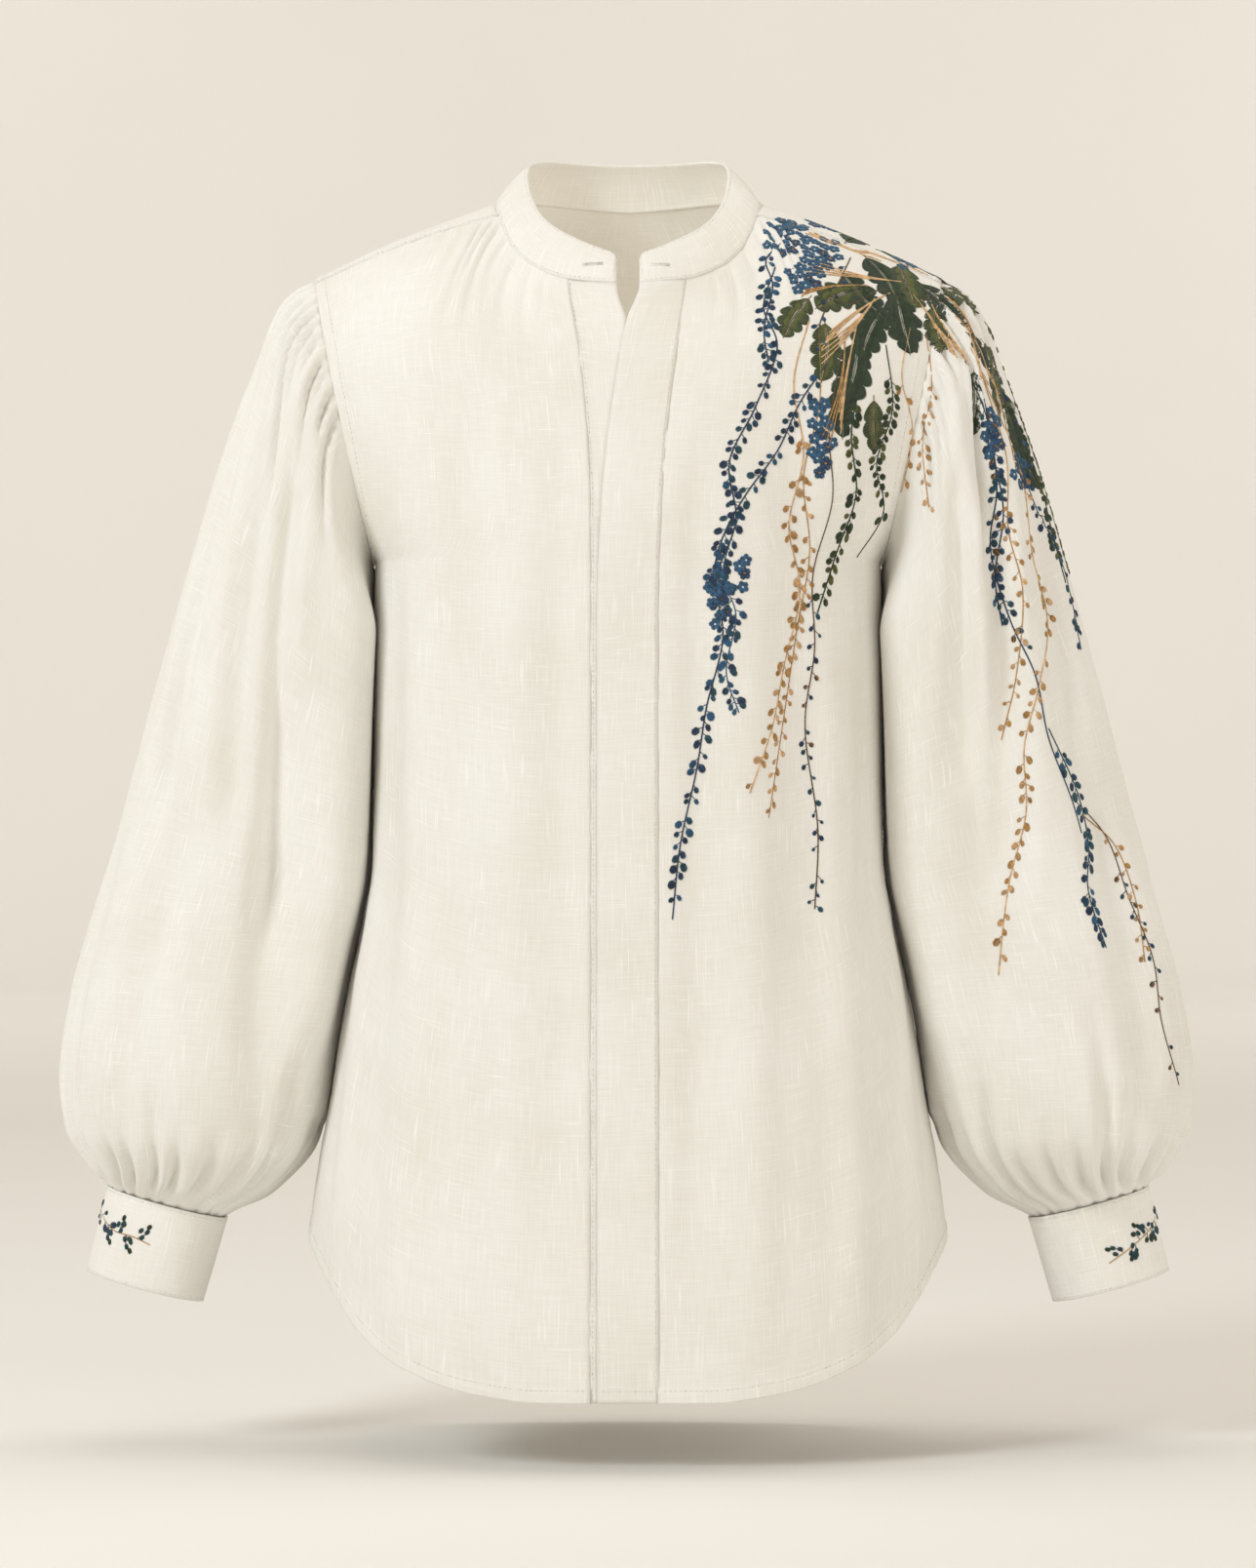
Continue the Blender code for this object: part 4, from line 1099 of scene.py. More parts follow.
linen = linen_look()
shells = {
    "front_left": front_shell("left", "over_sewn"),
    "front_right": front_shell("right", "under_sewn"),
    "placket_over": placket_shell("over"),
    "placket_under": placket_shell("under"),
    "back": back_shell(),
    "yoke": yoke_shell(),
    "collar_band": collar_shell(),
    "cuff_left": cuff_shell(0.6),
    "cuff_right": cuff_shell(2.9),
}
for side in ("left", "right"):
    shells["sleeve_" + side] = sleeve_shell(side, shells["front_" + side])
for name in ("front_right", "sleeve_right", "cuff_right"):
    mirror(shells[name])
for number, (name, shell) in enumerate(shells.items()):
    shift = (UV_SHIFT[0] * number, UV_SHIFT[1] * number)
    cloth_piece(name, shell, wall_of(name), shift)


# Thread work: every stitch is a small closed spindle that lies on the cloth

THREADS = {
    "navy": ("thread_blue", (0.017, 0.045, 0.100)),
    "blue": ("thread_blue", (0.030, 0.115, 0.220)),
    "teal": ("thread_blue", (0.018, 0.075, 0.100)),
    "green": ("thread_green", (0.024, 0.046, 0.022)),
    "olive": ("thread_green", (0.105, 0.122, 0.032)),
    "tan": ("thread_gold", (0.660, 0.430, 0.220)),
    "gold": ("thread_gold", (0.500, 0.280, 0.090)),
    # brown is real thread colour for stems and berries, and also the painted shade of the dashes
    # that stand for the cuff buttons' holes
    "brown": ("thread_gold", (0.120, 0.066, 0.030)),
    "ivory": ("linen", (0.86, 0.83, 0.76)),
}
THREAD_LIFT = 0.04
STEM_OVERLAP = 3
STRAND_WIDTH = 0.55
LEAF_NOTCH = 0.62
LEAF_ROW = 0.62
PETALS = 5
FLORET_TURN = 2.4
DEGREE_MM = 1.39


class Stitches:
    """All stitches of one thread colour, which become one mesh."""

    CORNERS = 8
    FACES = ((0, 2, 1), (0, 3, 2), (1, 2, 5, 4), (2, 3, 6, 5), (4, 5, 7), (5, 6, 7),
             (0, 1, 3), (1, 4, 6, 3), (4, 7, 6))

    def __init__(self):
        self.starts = []
        self.ends = []
        self.normals = []
        self.sizes = []

    def add(self, start, end, normal, width, height):
        self.starts.append(start)
        self.ends.append(end)
        self.normals.append(normal)
        self.sizes.append((width, height))

    def mesh(self, name):
        start = np.array(self.starts)
        end = np.array(self.ends)
        normal = unit(np.array(self.normals))
        width, height = np.array(self.sizes).T[:, :, None]
        side = unit(np.cross(end - start, normal)) * width / 2
        low = normal * THREAD_LIFT
        near = lerp(start, end, 0.22) + low
        far = lerp(start, end, 0.78) + low
        top = normal * height
        corners = np.stack([start + low, near - side, near + top, near + side,
                            far - side, far + top, far + side, end + low], 1)
        faces = [[self.CORNERS * i + corner for corner in face]
                 for i in range(len(start)) for face in self.FACES]
        mesh = bpy.data.meshes.new(name)
        mesh.from_pydata((corners.reshape(-1, 3) * MM).tolist(), [], faces)
        return mesh


stitched = {colour: Stitches() for colour in THREADS}


def cloth_tree():
    """The outer faces of all cloth that carries embroidery, to lay stitches on."""
    points = []
    faces = []
    for name in ("front_left", "placket_over", "yoke", "sleeve_left", "cuff_left", "cuff_right",
                 "collar_band"):
        shell = shells[name]
        outer = shell.surface(WALL_BASE + wall_of(name)).reshape(-1, 3)
        quads = grid_quads(shell)[0].reshape(-1, 4) + len(points)
        if shell.sign < 0:
            quads = quads[:, ::-1]
        points.extend(outer.tolist())
        faces.extend(quads.tolist())
    return BVHTree.FromPolygons(points, faces)


tree = cloth_tree()


def settle(point):
    """The nearest place on the cloth, and the cloth's direction out there."""
    place, normal = tree.find_nearest(Vector(point))[:2]
    return np.array(place), np.array(normal)


def seen_from_front(x, z):
    hit = tree.ray_cast(Vector((x, -400.0, z)), Vector((0, 1, 0)))
    if hit[0] is None:
        return settle((x, 0.0, z))
    return np.array(hit[0]), np.array(hit[1])


def seen_from_above(x, y):
    hit = tree.ray_cast(Vector((x, y, 300.0)), Vector((0, 0, -1)))
    return np.array(hit[0]), np.array(hit[1])


def on_sleeve(turn, along):
    """A place on the left sleeve, by its angle round and its way down."""
    shell = shells["sleeve_left"]
    row = int(np.abs(shell.along[:, 0] - along).argmin())
    column = int(np.abs(shell.turn[0] - turn).argmin())
    return settle(shell.points[row, column])


class Spot:
    """A small flat chart on the cloth: a is across its heading and b is along it."""

    def __init__(self, place, heading):
        point, normal = place
        self.origin = point
        heading = np.array(heading, float)
        self.ahead = unit(heading - normal * heading.dot(normal))
        self.across = np.cross(self.ahead, normal)

    def at(self, a, b):
        return settle(self.origin + self.across * a + self.ahead * b)


def heading_of(degrees):
    """A direction in the front view: 0 is to the viewer's right and 90 is up."""
    return (math.cos(math.radians(degrees)), 0.0, math.sin(math.radians(degrees)))


def lay(colour, start, end, width, height):
    """One stitch between two settled places."""
    stitched[colour].add(start[0], end[0], (start[1] + end[1]) / 2, width, height)


def smooth_way(marks, step=1.3):
    """A curve through marks in a flat chart, as evenly spaced points."""
    marks = np.array(marks, float)
    reach = line_reach(marks)
    padded = np.vstack([2 * marks[0] - marks[1], marks, 2 * marks[-1] - marks[-2]])
    places = []
    for at in np.arange(0, reach[-1], step):
        i = min(int(np.searchsorted(reach, at, "right")) - 1, len(marks) - 2)
        t = (at - reach[i]) / (reach[i + 1] - reach[i])
        a, b, c, d = padded[i:i + 4]
        places.append(0.5 * (2 * b + (c - a) * t + (2 * a - 5 * b + 4 * c - d) * t * t
                             + (3 * b - a - 3 * c + d) * t ** 3))
    return places


def stem(colour, way, width=0.8):
    """Stem stitch along settled places: each stitch starts beside the last one."""
    for i in range(0, len(way) - STEM_OVERLAP, 2):
        lay(colour, way[i], way[i + STEM_OVERLAP], width, width * 0.55)


def berry(spot, across, ahead, length, width, colour, glint=None):
    """A padded satin oval of parallel strands."""
    strands = max(3, round(width / STRAND_WIDTH))
    for i in range(strands):
        offset = -1 + (2 * i + 1) / strands
        half = length / 2 * math.sqrt(1 - 0.8 * offset * offset)
        a = across + offset * width / 2
        shade = glint if glint and i == strands // 3 else colour
        height = 0.45 + 0.5 * (1 - offset * offset)
        start = spot.at(a, ahead - half)
        lay(shade, start, spot.at(a, ahead + half), width / strands * 1.5, height)


def berries(way, rng, colours, pitch, size, start=0.0, end=1.0, reach=1.7):
    """Berries on short stalks at alternate sides of a stem."""
    side = 1
    position = start * len(way)
    while position < end * len(way) - 3:
        i = int(position)
        spot = Spot(way[i], way[i + 2][0] - way[i][0])
        colour, glint = rng.choice(colours)
        out = reach * rng.uniform(0.5, 1.9) * side
        ahead = rng.uniform(0.4, 3.0)
        lay(colour, way[i], spot.at(out, ahead), 0.6, 0.35)
        turned = Spot(spot.at(out, ahead), spot.ahead + spot.across * rng.uniform(0.2, 1.1) * side)
        length = size * rng.uniform(0.95, 1.60)
        berry(turned, 0, length * 0.35, length, length * rng.uniform(0.50, 0.68), colour, glint)
        side = -side
        rest = 2.6 if rng.random() < 0.14 else 1.0
        position += pitch * rest * rng.uniform(0.55, 1.35) / 1.3


def leaf(spot, length, width, colours, lobes, bend):
    """A lobed leaf: slanting satin strands from a midrib out to the margin."""
    fill, edge, rib = colours
    steps = int(length / LEAF_ROW)
    for i in range(steps):
        t = (i + 0.5) / steps
        margin = width / 2 * math.sin(math.pi * t ** 0.75) ** 0.6
        margin *= LEAF_NOTCH + (1.06 - LEAF_NOTCH) * abs(math.sin(math.pi * lobes * t)) ** 0.5
        middle = bend * math.sin(math.pi * t)
        for side in (1, -1):
            start = spot.at(middle + side * 0.25, length * t * 0.95)
            inner = spot.at(middle + side * margin * 0.55, length * t * 0.95 + margin * 0.24)
            outer = spot.at(middle + side * margin, length * t * 0.95 + margin * 0.38)
            lay(fill, start, inner, 0.85, 0.5)
            under = spot.at(middle + side * margin * 0.30, length * t * 0.95 + margin * 0.14)
            lay(edge if i % 3 else fill, under, outer, 0.9, 0.4)
    ribs = [spot.at(bend * math.sin(math.pi * t), length * t) for t in np.linspace(-0.12, 1.0, 26)]
    stem(rib, ribs, 0.75)


def floret(spot, across, ahead, radius, turn, colours):
    """Five small satin petals round a gold knot."""
    petal_colour, shade, heart = colours
    for petal in range(PETALS):
        middle = turn + 360 / PETALS * petal
        for strand in range(-2, 3):
            angle = math.radians(middle + strand * 14)
            reach = radius * (1 - 0.055 * strand * strand)
            start = spot.at(across + 0.6 * math.cos(angle), ahead + 0.6 * math.sin(angle))
            end = spot.at(across + reach * math.cos(angle), ahead + reach * math.sin(angle))
            lay(shade if strand == 0 else petal_colour, start, end, 1.35, 0.7)
    if heart:
        berry(spot, across, ahead, 1.5, 1.5, heart)


def grass(spot, length, bend, colour, blades):
    """Long bowed strokes that part from one root."""
    for blade in range(blades):
        spread = (blade - (blades - 1) / 2) * 2.6
        way = [spot.at((bend + spread) * t * t, length * t * (1 - 0.06 * blade))
               for t in np.linspace(0, 1, max(8, int(length / 1.3)))]
        stem(colour, way, 1.3)


# The embroidery's layout, in the front view's millimetres

Trail = namedtuple("Trail", "colour width berry_colours pitch size start end marks")
BLUES = (("navy", "blue"), ("navy", None), ("blue", None), ("teal", "blue"))
GREENS = (("green", "olive"), ("green", None), ("olive", None))
GOLDS = (("gold", "tan"), ("tan", None), ("gold", None))
DUSKS = (("teal", "blue"), ("navy", None), ("brown", "gold"))

FRONT_TRAILS = table_of(
    Trail,
    ("navy", 1.1, BLUES, 3.4, 4.3, 0.03, 0.98, ((92, -42), (84, -70), (92, -96), (78, -134),
     (62, -168), (66, -204), (54, -240), (58, -276), (48, -318), (42, -356), (32, -402),
     (27, -449))),
    ("navy", 1.1, BLUES, 2.9, 4.3, 0.08, 1.0, ((124, -104), (106, -130), (92, -160), (72, -188),
     (58, -214), (50, -244))),
    ("blue", 0.9, BLUES, 2.2, 4.6, 0.20, 1.0, ((68, -200), (58, -236), (66, -262), (60, -296),
     (68, -322))),
    ("tan", 1.1, GOLDS, 4.4, 4.2, 0.25, 1.0, ((112, -78), (102, -118), (108, -162), (99, -206),
     (106, -246), (96, -292), (88, -332), (74, -372))),
    ("gold", 0.9, GOLDS, 5.0, 3.4, 0.30, 1.0, ((118, -84), (118, -130), (108, -176), (112, -222),
     (104, -270), (96, -322), (86, -388))),
    ("brown", 1.0, DUSKS, 6.5, 3.0, 0.45, 1.0, ((132, -96), (124, -146), (126, -190), (114, -236),
     (115, -282), (109, -330), (117, -392), (115, -445))),
    ("green", 1.2, GREENS, 2.6, 4.6, 0.15, 0.95, ((148, -100), (138, -146), (141, -186),
     (129, -222), (116, -262))),
    ("green", 1.0, GREENS, 2.9, 4.3, 0.15, 0.80, ((160, -92), (164, -132), (154, -166),
     (159, -196), (141, -226))),
    ("tan", 0.9, GOLDS, 6.5, 3.6, 0.35, 1.0, ((176, -80), (170, -112), (177, -146), (170, -186))),
    ("gold", 0.9, GOLDS, 5.0, 3.6, 0.30, 1.0, ((186, -84), (189, -118), (183, -152), (187, -196))),
    ("navy", 1.1, BLUES, 2.6, 4.3, 0.05, 1.0, ((96, -26), (86, -38), (90, -56), (84, -84),
     (87, -108))),
    ("navy", 1.1, DUSKS, 3.8, 4.0, 0.12, 0.62, ((208, -96), (224, -138), (230, -180), (226, -218),
     (238, -262), (254, -298), (262, -336), (276, -372), (284, -398))),
    ("teal", 1.1, BLUES, 2.8, 4.6, 0.10, 0.97, ((262, -330), (280, -368), (288, -402), (287, -432),
     (299, -470))),
    ("tan", 1.1, GOLDS, 4.8, 4.2, 0.20, 0.98, ((214, -92), (230, -130), (248, -172), (253, -222),
     (263, -262), (256, -304), (247, -342), (248, -384), (237, -430), (231, -486))),
    ("gold", 0.9, GOLDS, 6.0, 3.4, 0.35, 0.98, ((222, -112), (236, -160), (237, -206), (246, -246),
     (242, -298), (233, -338))),
    ("brown", 0.9, DUSKS, 8.0, 3.0, 0.30, 1.0, ((276, -372), (300, -398), (314, -436), (329, -474),
     (334, -514), (346, -556))),
    ("gold", 0.9, GOLDS, 7.0, 3.2, 0.20, 1.0, ((284, -384), (306, -404), (319, -440), (324, -478))),
    ("green", 1.1, GREENS, 2.7, 4.4, 0.10, 0.9, ((228, -112), (246, -142), (260, -176),
     (267, -206), (276, -240))),
    ("navy", 1.1, BLUES, 2.8, 4.2, 0.10, 0.95, ((222, -124), (228, -160), (234, -196), (229, -236),
     (234, -268))),
    ("brown", 1.0, GREENS, 9.0, 3.4, 0.10, 0.9, ((118, -58), (140, -66), (158, -56), (178, -64),
     (196, -60), (214, -80))),
    ("brown", 1.0, BLUES, 7.0, 3.8, 0.10, 0.9, ((140, -34), (128, -60), (118, -84), (122, -112))),
)
SleeveTrail = namedtuple("SleeveTrail", "colour berry_colours pitch size marks")
SLEEVE_TRAILS = table_of(
    SleeveTrail,
    ("green", GREENS, 4.0, 3.8, ((12, 20), (4, 60), (10, 110), (4, 160), (9, 210))),
    ("tan", GOLDS, 7.0, 3.4, ((-14, 16), (-26, 70), (-22, 130), (-34, 190), (-28, 250))),
    ("navy", BLUES, 4.0, 3.8, ((25, 40), (20, 95), (27, 150), (21, 205), (28, 255))),
    ("brown", DUSKS, 9.0, 3.0, ((-30, 12), (-42, 60), (-36, 120), (-50, 180))),
)

LeafSpot = namedtuple("LeafSpot", "x z heading length width lobes bend kind")
LEAVES = table_of(
    LeafSpot,
    (134, -46, -64, 44, 25, 4, 2.6, "deep"), (150, -34, -84, 50, 27, 4, -2.4, "deep"),
    (172, -38, -104, 48, 26, 4, 2.8, "moss"), (158, -70, -116, 44, 24, 4, 2.0, "deep"),
    (122, -80, -98, 42, 22, 4, -2.0, "moss"), (182, -50, -66, 42, 24, 4, -2.4, "deep"),
    (150, -14, 160, 34, 20, 3, 1.8, "deep"), (170, -20, 10, 34, 20, 3, -1.8, "moss"),
    (206, -72, -72, 44, 23, 4, 2.2, "deep"), (224, -88, -54, 40, 21, 4, -1.8, "moss"),
    (236, -118, -66, 46, 22, 4, 2.2, "deep"), (216, -108, -94, 42, 21, 4, -2.2, "deep"),
    (134, -112, -94, 42, 20, 4, 1.8, "deep"), (152, -128, -86, 34, 16, 3, 1.2, "moss"),
    (142, -92, -108, 48, 27, 4, -2.6, "deep"), (168, -58, -92, 50, 28, 4, 2.4, "deep"),
    (146, -56, -140, 40, 24, 4, 2.2, "moss"), (184, -34, -48, 44, 26, 4, 2.4, "deep"),
    (198, -52, -40, 42, 24, 4, -2.0, "moss"), (112, -64, -120, 36, 20, 4, 1.6, "moss"),
    (228, -104, -80, 46, 24, 4, 2.0, "moss"), (240, -132, -86, 42, 21, 4, -1.8, "deep"),
    (192, -66, -96, 36, 19, 4, 1.6, "moss"), (246, -150, -62, 34, 16, 3, 1.4, "deep"),
)
LEAF_COLOURS = {"deep": ("green", "green", "olive"), "moss": ("olive", "green", "brown")}

Head = namedtuple("Head", "x z wide high count")
HEADS = table_of(
    Head,
    (98, -22, 15, 12, 17), (120, -32, 14, 13, 17), (110, -50, 11, 10, 10), (178, -32, 10, 8, 8),
    (119, -150, 8, 24, 16), (228, -146, 7, 15, 8), (246, -170, 6, 12, 7), (56, -252, 7, 20, 10),
    (70, -236, 4, 11, 4),
)
GrassRoot = namedtuple("GrassRoot", "x z heading length bend colour blades")
GRASSES = table_of(
    GrassRoot,
    (172, -50, 204, 66, 12, "tan", 4), (164, -58, 222, 74, -10, "tan", 4),
    (154, -62, 240, 70, 11, "tan", 4), (150, -54, 196, 50, -8, "gold", 3),
    (142, -80, 250, 78, -11, "tan", 4), (134, -90, 264, 74, 9, "gold", 3),
    (178, -58, 292, 56, 8, "tan", 3), (190, -64, 276, 50, -8, "tan", 3),
    (204, -72, 300, 58, 9, "tan", 4), (212, -80, 284, 66, -9, "tan", 3),
    (198, -58, 320, 44, 7, "gold", 3), (160, -36, 172, 54, 8, "tan", 3),
    (190, -44, 160, 50, -8, "tan", 3), (228, -112, 292, 60, 7, "gold", 3),
)
SHOULDER_TOP = (
    (104, -24, 60, "floret"), (122, -8, 40, "floret"), (138, -22, 80, "leaf"),
    (160, -12, 20, "leaf"), (150, 8, 150, "leaf"), (176, 4, 200, "floret"),
    (128, 14, 120, "floret"),
)
Sprig = namedtuple("Sprig", "side marks twigs")
SPRIG_COLOURS = (("teal", "green"), ("green", "teal"), ("navy", None))
SPRIGS = table_of(
    Sprig,
    (-1, ((-336, -634), (-326, -646), (-312, -650), (-299, -656)), ((-328, -644, 290),
     (-322, -648, 60), (-316, -649, 285), (-309, -651, 40))),
    (1, ((338, -632), (330, -646), (318, -656), (301, -668)), ((332, -642, 265), (326, -650, 150),
     (320, -654, 250), (312, -660, 170))),
)


def embroider():
    rng = random.Random(RANDOM_SEED)
    for trail in FRONT_TRAILS:
        way = [seen_from_front(x, z) for x, z in smooth_way(trail.marks)]
        stem(trail.colour, way, trail.width)
        berries(way, rng, trail.berry_colours, trail.pitch, trail.size, trail.start, trail.end)
    for trail in SLEEVE_TRAILS:
        marks = [(turn * DEGREE_MM, along) for turn, along in trail.marks]
        way = [on_sleeve(a / DEGREE_MM, along) for a, along in smooth_way(marks, 2.6)]
        way = respaced(way)
        stem(trail.colour, way)
        berries(way, rng, trail.berry_colours, trail.pitch, trail.size, 0.1)
    for root in GRASSES:
        spot = Spot(seen_from_front(root.x, root.z), heading_of(root.heading))
        grass(spot, root.length, root.bend, root.colour, root.blades)
    for item in LEAVES:
        spot = Spot(seen_from_front(item.x, item.z), heading_of(item.heading))
        leaf(spot, item.length, item.width, LEAF_COLOURS[item.kind], item.lobes, item.bend)
    for head in HEADS:
        for i in range(head.count):
            angle = FLORET_TURN * i
            reach = math.sqrt((i + 0.4) / head.count)
            x = head.x + head.wide * reach * math.cos(angle)
            z = head.z + head.high * reach * math.sin(angle)
            spot = Spot(seen_from_front(x, z), heading_of(90))
            colours = ("blue", "navy", None) if i % 5 else ("navy", "blue", "gold")
            floret(spot, 0, 0, rng.uniform(3.9, 5.2), rng.uniform(0, 72), colours)
    for x, y, turn, kind in SHOULDER_TOP:
        ahead = (math.cos(math.radians(turn)), math.sin(math.radians(turn)), 0.0)
        spot = Spot(seen_from_above(x, y), ahead)
        if kind == "leaf":
            leaf(spot, 36, 20, LEAF_COLOURS["deep"], 3, 1.5)
        else:
            for i in range(5):
                reach = 4.4 * math.sqrt(i)
                across = reach * math.cos(FLORET_TURN * i)
                ahead = reach * math.sin(FLORET_TURN * i)
                floret(spot, across, ahead, 4.4, 20 * i, ("blue", "navy", "gold"))
    for sprig in SPRIGS:
        way = [seen_from_front(x, z) for x, z in smooth_way(sprig.marks)]
        stem("gold", way, 0.8)
        berries(way, rng, SPRIG_COLOURS, 3.4, 4.4, 0.0, 0.7, 2.6)
        for x, z, heading in sprig.twigs:
            twig = Spot(seen_from_front(x, z), heading_of(heading))
            stem("brown", [twig.at(0.4 * t, 1.3 * t) for t in range(8)], 0.6)
            for step, side in ((2.5, 1.7), (5.0, -1.9), (7.4, 1.5), (10.5, 0.0)):
                berry(twig, side, step, 4.6, 2.5, "teal" if step < 8 else "green", "green")


def respaced(way, step=1.3):
    """The same way with its places evenly apart."""
    points = np.array([spot[0] for spot in way])
    reach = line_reach(points)
    return [settle(at_reach(value, reach, points)) for value in np.arange(0, reach[-1], step)]


def thread_look(name, colour):
    """Stranded cotton: soft gloss and a slight change of tone from stitch to stitch."""
    look = Look("thread_" + name, colour, 0.5)
    place = look.add("TexCoord").outputs["Object"]
    tone = look.noise(place, (260, 260, 260), 2)
    dark = tuple(0.72 * value for value in colour)
    light = tuple(min(1.0, 1.28 * value) for value in colour)
    look.link(look.ramp(tone, (0.32, dark), (0.68, light)), look.shader.inputs["Base Color"])
    strands = look.noise(place, (2600, 2600, 2600), 1)
    look.bump(strands, 0.3, 0.00015)
    look.settings({"Sheen Weight": 0.15, "Specular IOR Level": 0.4})
    return look.material


def thread_pieces():
    for colour, (slot_name, tone) in THREADS.items():
        if not stitched[colour].starts:
            continue
        name = "topstitch_ivory" if colour == "ivory" else "embroidery_" + colour
        add_piece(name, stitched[colour].mesh(name), thread_look(colour, tone))


# Sewing: topstitching, buttonholes and cuff buttons

STITCH_LENGTH = 2.3
STITCH_PITCH = 3.2
ARM_STITCH_FOOT = -218
SIDE_STITCH_TOP = -232
YOKE_ARM_STITCH_FOOT = -74
YOKE_BACK_STITCH_TOP = -78
BUTTONHOLES = ((-22, -42.2, 2, 11), (20, -42.6, 4, 10))
BUTTON_TURN = CUFF_START + CUFF_LAP * 0.4
BUTTON_REST = 5.0
BUTTON_PROFILE = ((0.0, 1.3), (2.6, 1.3), (3.3, 1.6), (3.9, 2.1), (4.6, 2.2), (5.2, 1.9),
                  (5.5, 1.3), (5.5, 0.7), (5.1, 0.1), (0.0, 0.0))
BUTTON_SEGMENTS = 40
BUTTON_HOLE_REACH = 1.1


def line_in(name, edge, distance):
    """Places and normals on a piece along a line at a distance from one of its edges."""
    shell = shells[name]
    outer = shell.surface(WALL_BASE + wall_of(name))
    normals = shell.normals
    reach = shell.down
    if edge in ("first", "last"):
        outer = outer.transpose(1, 0, 2)
        normals = normals.transpose(1, 0, 2)
        reach = shell.across.T
    if edge in ("foot", "last"):
        outer = outer[::-1]
        normals = normals[::-1]
        reach = (reach[-1:] - reach)[::-1]
    ways = []
    for grid in (outer, normals):
        ways.append(np.array([at_reach(distance, reach[:, i], grid[:, i])
                              for i in range(grid.shape[1])]))
    return ways


def topstitch(name, edge, distance, low=-math.inf, high=math.inf):
    """A row of running stitches, kept to the heights from low to high."""
    points, normals = line_in(name, edge, distance)
    reach = line_reach(points)
    for at in np.arange(STITCH_PITCH, reach[-1] - STITCH_PITCH, STITCH_PITCH):
        start, end = [(at_reach(value, reach, points), at_reach(value, reach, normals))
                      for value in (at, at + STITCH_LENGTH)]
        if low <= start[0][2] <= high:
            lay("ivory", start, end, 0.5, 0.30)


def buttonhole(x, z, degrees, length):
    """Close satin bars on both sides of a slit, with a bar across each end."""
    spot = Spot(seen_from_front(x, z), heading_of(degrees))
    for ahead in np.arange(-length / 2, length / 2, 0.55):
        for side in (-1, 1):
            lay("ivory", spot.at(side * 0.22, ahead), spot.at(side * 1.5, ahead), 0.7, 0.5)
    for ahead in (-length / 2 - 0.6, length / 2 + 0.3):
        for across in (-1.2, -0.6, 0.0, 0.6, 1.2):
            lay("ivory", spot.at(across, ahead - 0.5), spot.at(across, ahead + 0.9), 0.7, 0.55)


def sew():
    for name in ("front_left", "front_right", "back"):
        topstitch(name, "foot", HEM_STITCH)
        for edge in ("first", "last"):
            if name == "back" or edge == "last":
                topstitch(name, edge, STRIP_STITCH, low=ARM_STITCH_FOOT)
                topstitch(name, edge, SIDE_STITCH, high=SIDE_STITCH_TOP)
    topstitch("yoke", "foot", STRIP_STITCH, low=YOKE_ARM_STITCH_FOOT)
    topstitch("yoke", "foot", YOKE_STITCH, high=YOKE_BACK_STITCH_TOP)
    for edge in ("first", "last"):
        topstitch("yoke", edge, BAND_STITCH)
    for name in ("collar_band", "cuff_left", "cuff_right"):
        for edge in ("top", "foot", "first", "last"):
            topstitch(name, edge, BAND_STITCH)
    for name in ("placket_over", "placket_under"):
        topstitch(name, "last", BAND_STITCH)
    for name in ("placket_over", "placket_under"):
        topstitch(name, "foot", HEM_STITCH)
    for x, z, degrees, length in BUTTONHOLES:
        buttonhole(x, z, degrees, length)


def cuff_button(side):
    """A turned shell button with a rim, held by crossed thread; its four holes are not cut but
    shown as short dark brown dashes of painted shade.
    """
    sign = 1 if side == "left" else -1
    near = cuff_points(np.array(BUTTON_TURN), np.array(0.5), BUTTON_REST)
    out = unit(cuff_points(np.array(BUTTON_TURN), np.array(0.5), BUTTON_REST + 1) - near)
    near = near * np.array([sign, 1, 1])
    out = out * np.array([sign, 1, 1])
    spot = Spot((near, out), (0, 0, 1))
    points = []
    for radius, height in BUTTON_PROFILE:
        for i in range(BUTTON_SEGMENTS if radius else 1):
            angle = 2 * math.pi * i / BUTTON_SEGMENTS
            points.append(near + out * height + spot.across * radius * math.cos(angle)
                          + spot.ahead * radius * math.sin(angle))
    last = len(points) - 1
    faces = []
    for i in range(BUTTON_SEGMENTS):
        j = (i + 1) % BUTTON_SEGMENTS
        faces.append((0, 1 + i, 1 + j))
        faces.append((last, last - BUTTON_SEGMENTS + j, last - BUTTON_SEGMENTS + i))
        for ring in range(len(BUTTON_PROFILE) - 3):
            low = 1 + ring * BUTTON_SEGMENTS
            high = low + BUTTON_SEGMENTS
            faces.append((low + i, high + i, high + j, low + j))
    mesh = bpy.data.meshes.new("button_" + side)
    mesh.from_pydata([(point * MM).tolist() for point in points], [], faces)
    add_piece("button_" + side, mesh, shell_look, "cuff_button_" + side)
    face = out * BUTTON_PROFILE[0][1]
    for a, b in ((1, 1), (1, -1)):
        start = near + face + (spot.across * a + spot.ahead * b) * BUTTON_HOLE_REACH
        end = near + face - (spot.across * a + spot.ahead * b) * BUTTON_HOLE_REACH
        lay("ivory", (start, out), (end, out), 0.8, 0.5)
        for corner in (start, end):
            # Painted shade: at each hole a short dark brown dash stands for the shade inside the
            # hole, which is not cut through the button.
            hole_shade_half = spot.across * 0.4
            lay("brown", (corner - hole_shade_half, out), (corner + hole_shade_half, out), 0.8, 0.1)
    for across, ahead in ((0.5, 0.0), (-0.5, 0.0), (0.0, 0.5), (0.0, -0.5)):
        foot = near - out * 0.9 + spot.across * across + spot.ahead * ahead
        tip = near + out * 0.4 + spot.across * across + spot.ahead * ahead
        lay("ivory", (foot, spot.ahead), (tip, spot.ahead), 0.7, 0.6)


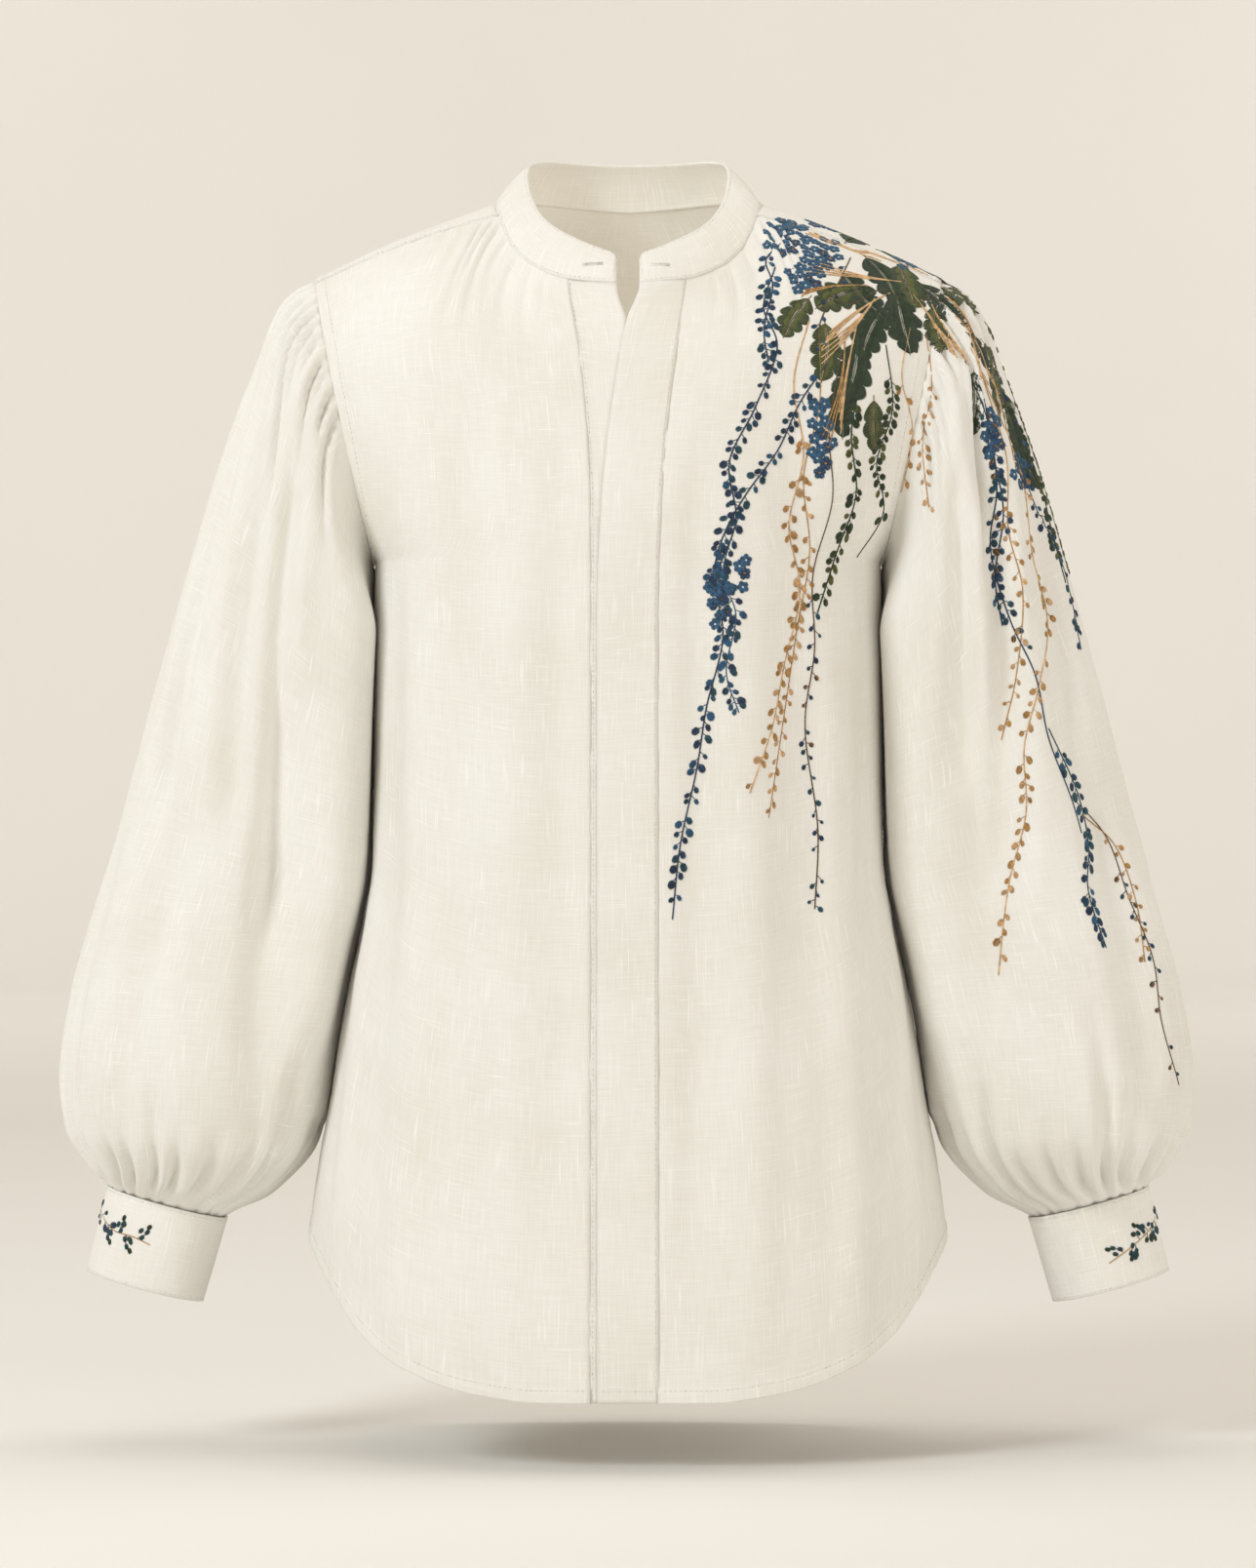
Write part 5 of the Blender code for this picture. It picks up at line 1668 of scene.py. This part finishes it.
def shell_button_look():
    """Pale shell: soft bands of tone under a clear gloss."""
    look = Look("button_shell", (0.80, 0.77, 0.70), 0.25)
    place = look.add("TexCoord").outputs["Object"]
    bands = look.noise(place, (120, 120, 700), 3)
    look.link(look.ramp(bands, (0.3, (0.74, 0.70, 0.63)), (0.7, (0.88, 0.86, 0.82))),
              look.shader.inputs["Base Color"])
    look.settings({"Coat Weight": 0.4})
    return look.material


Cut = namedtuple("Cut", "flat area held rests_on")


shell_look = shell_button_look()
embroider()
sew()
for side in ("left", "right"):
    cuff_button(side)
thread_pieces()


# Stage, lights and camera

FLOOR_Z = -0.785
FLOOR_NEAR_Y = -9.0
FLOOR_BEND_Y = 7.4
FLOOR_BEND = 1.2
BEND_STEPS = 24
WALL_TOP = 5.0
WALL_HALF_WIDTH = 9.0
CHEST = (0.0, 0.0, -0.35)
AreaLight = namedtuple("AreaLight", "name place target size watts colour")
SHIRT_LIGHTS = table_of(
    AreaLight,
    ("key", (-2.2, -2.1, 1.4), CHEST, (1.0, 1.0), 51.0, (0.93, 0.97, 1.0)),
    ("fill", (2.3, -2.5, 0.2), CHEST, (2.4, 2.4), 28.0, (1.0, 0.975, 0.94)),
    ("top", (0.0, 0.2, 2.4), CHEST, (1.6, 1.2), 12.0, (1.0, 0.98, 0.95)),
)
PAPER_LIGHTS = table_of(
    AreaLight,
    ("floor_light", (2.6, 0.9, 1.6), (0.6, 3.4, -0.4), (2.0, 2.0), 18.0, (0.97, 0.97, 0.95)),
    ("wall_light", (3.4, 5.2, 2.4), (1.0, 8.6, 0.2), (2.4, 2.4), 50.0, (0.97, 0.97, 0.95)),
)
INSIDE_WATTS = 0.19
INSIDE_SIZE = 0.03
INSIDE_AT = (0.0, -0.01, -0.09)
INSIDE_COLOUR = (1.0, 0.90, 0.76)
AIR_COLOUR = (1.0, 0.885, 0.74, 1)
AIR_STRENGTH = 0.50
CAMERA_AT = (0.0, -3.2, -0.365)
CAMERA_LENS = 115.55
SENSOR = 36.0


def backdrop():
    """A pale floor that curves up into a wall."""
    profile = [(FLOOR_NEAR_Y, FLOOR_Z)]
    for i in range(BEND_STEPS + 1):
        turn = math.pi / 2 * i / BEND_STEPS
        rise = FLOOR_BEND * (1 - math.cos(turn))
        profile.append((FLOOR_BEND_Y + FLOOR_BEND * math.sin(turn), FLOOR_Z + rise))
    profile.append((FLOOR_BEND_Y + FLOOR_BEND, WALL_TOP))
    verts = [(x, y, z) for y, z in profile for x in (-WALL_HALF_WIDTH, WALL_HALF_WIDTH)]
    faces = [(2 * i, 2 * i + 1, 2 * i + 3, 2 * i + 2) for i in range(len(profile) - 1)]
    mesh = bpy.data.meshes.new("backdrop")
    mesh.from_pydata(verts, [], faces)
    mesh.shade_smooth()
    look = Look("backdrop_paper", (0.87, 0.86, 0.83), 0.95)
    place = look.add("TexCoord").outputs["Object"]
    tone = look.noise(place, (1.5, 1.5, 1.5), 2)
    colour = look.ramp(tone, (0.3, (0.87, 0.86, 0.83)), (0.7, (0.885, 0.875, 0.845)))
    look.link(colour, look.shader.inputs["Base Color"])
    mesh.materials.append(look.material)
    paper = bpy.data.objects.new("backdrop", mesh)
    bpy.context.scene.collection.objects.link(paper)


def area_light(row):
    light = bpy.data.lights.new(row.name, "AREA")
    light.shape = "RECTANGLE"
    light.size = row.size[0]
    light.size_y = row.size[1]
    light.energy = row.watts
    light.color = row.colour
    lamp = bpy.data.objects.new(row.name, light)
    lamp.location = row.place
    towards = Vector(row.target) - Vector(row.place)
    lamp.rotation_euler = towards.to_track_quat("-Z", "Y").to_euler()
    bpy.context.scene.collection.objects.link(lamp)


def lights():
    for light in SHIRT_LIGHTS:
        area_light(light)
    inside = bpy.data.lights.new("inside_bounce", "POINT")
    inside.shadow_soft_size = INSIDE_SIZE
    inside.energy = INSIDE_WATTS
    inside.color = INSIDE_COLOUR
    lamp = bpy.data.objects.new("inside_bounce", inside)
    lamp.location = INSIDE_AT
    lamp.visible_camera = False
    bpy.context.scene.collection.objects.link(lamp)
    for side in (-1, 1):
        for light in PAPER_LIGHTS:
            place = (side * light.place[0], *light.place[1:])
            target = (side * light.target[0], *light.target[1:])
            area_light(light._replace(place=place, target=target))
    world = bpy.data.worlds.new("studio_air")
    world.use_nodes = True
    air = world.node_tree.nodes["Background"]
    air.inputs["Color"].default_value = AIR_COLOUR
    air.inputs["Strength"].default_value = AIR_STRENGTH
    bpy.context.scene.world = world
    bpy.context.scene.view_settings.view_transform = "Standard"


def camera():
    data = bpy.data.cameras.new("camera")
    data.sensor_width = SENSOR
    data.lens = CAMERA_LENS
    eye = bpy.data.objects.new("camera", data)
    eye.location = CAMERA_AT
    eye.rotation_euler = (math.pi / 2, 0, 0)
    bpy.context.scene.collection.objects.link(eye)
    bpy.context.scene.camera = eye


backdrop()
lights()
camera()
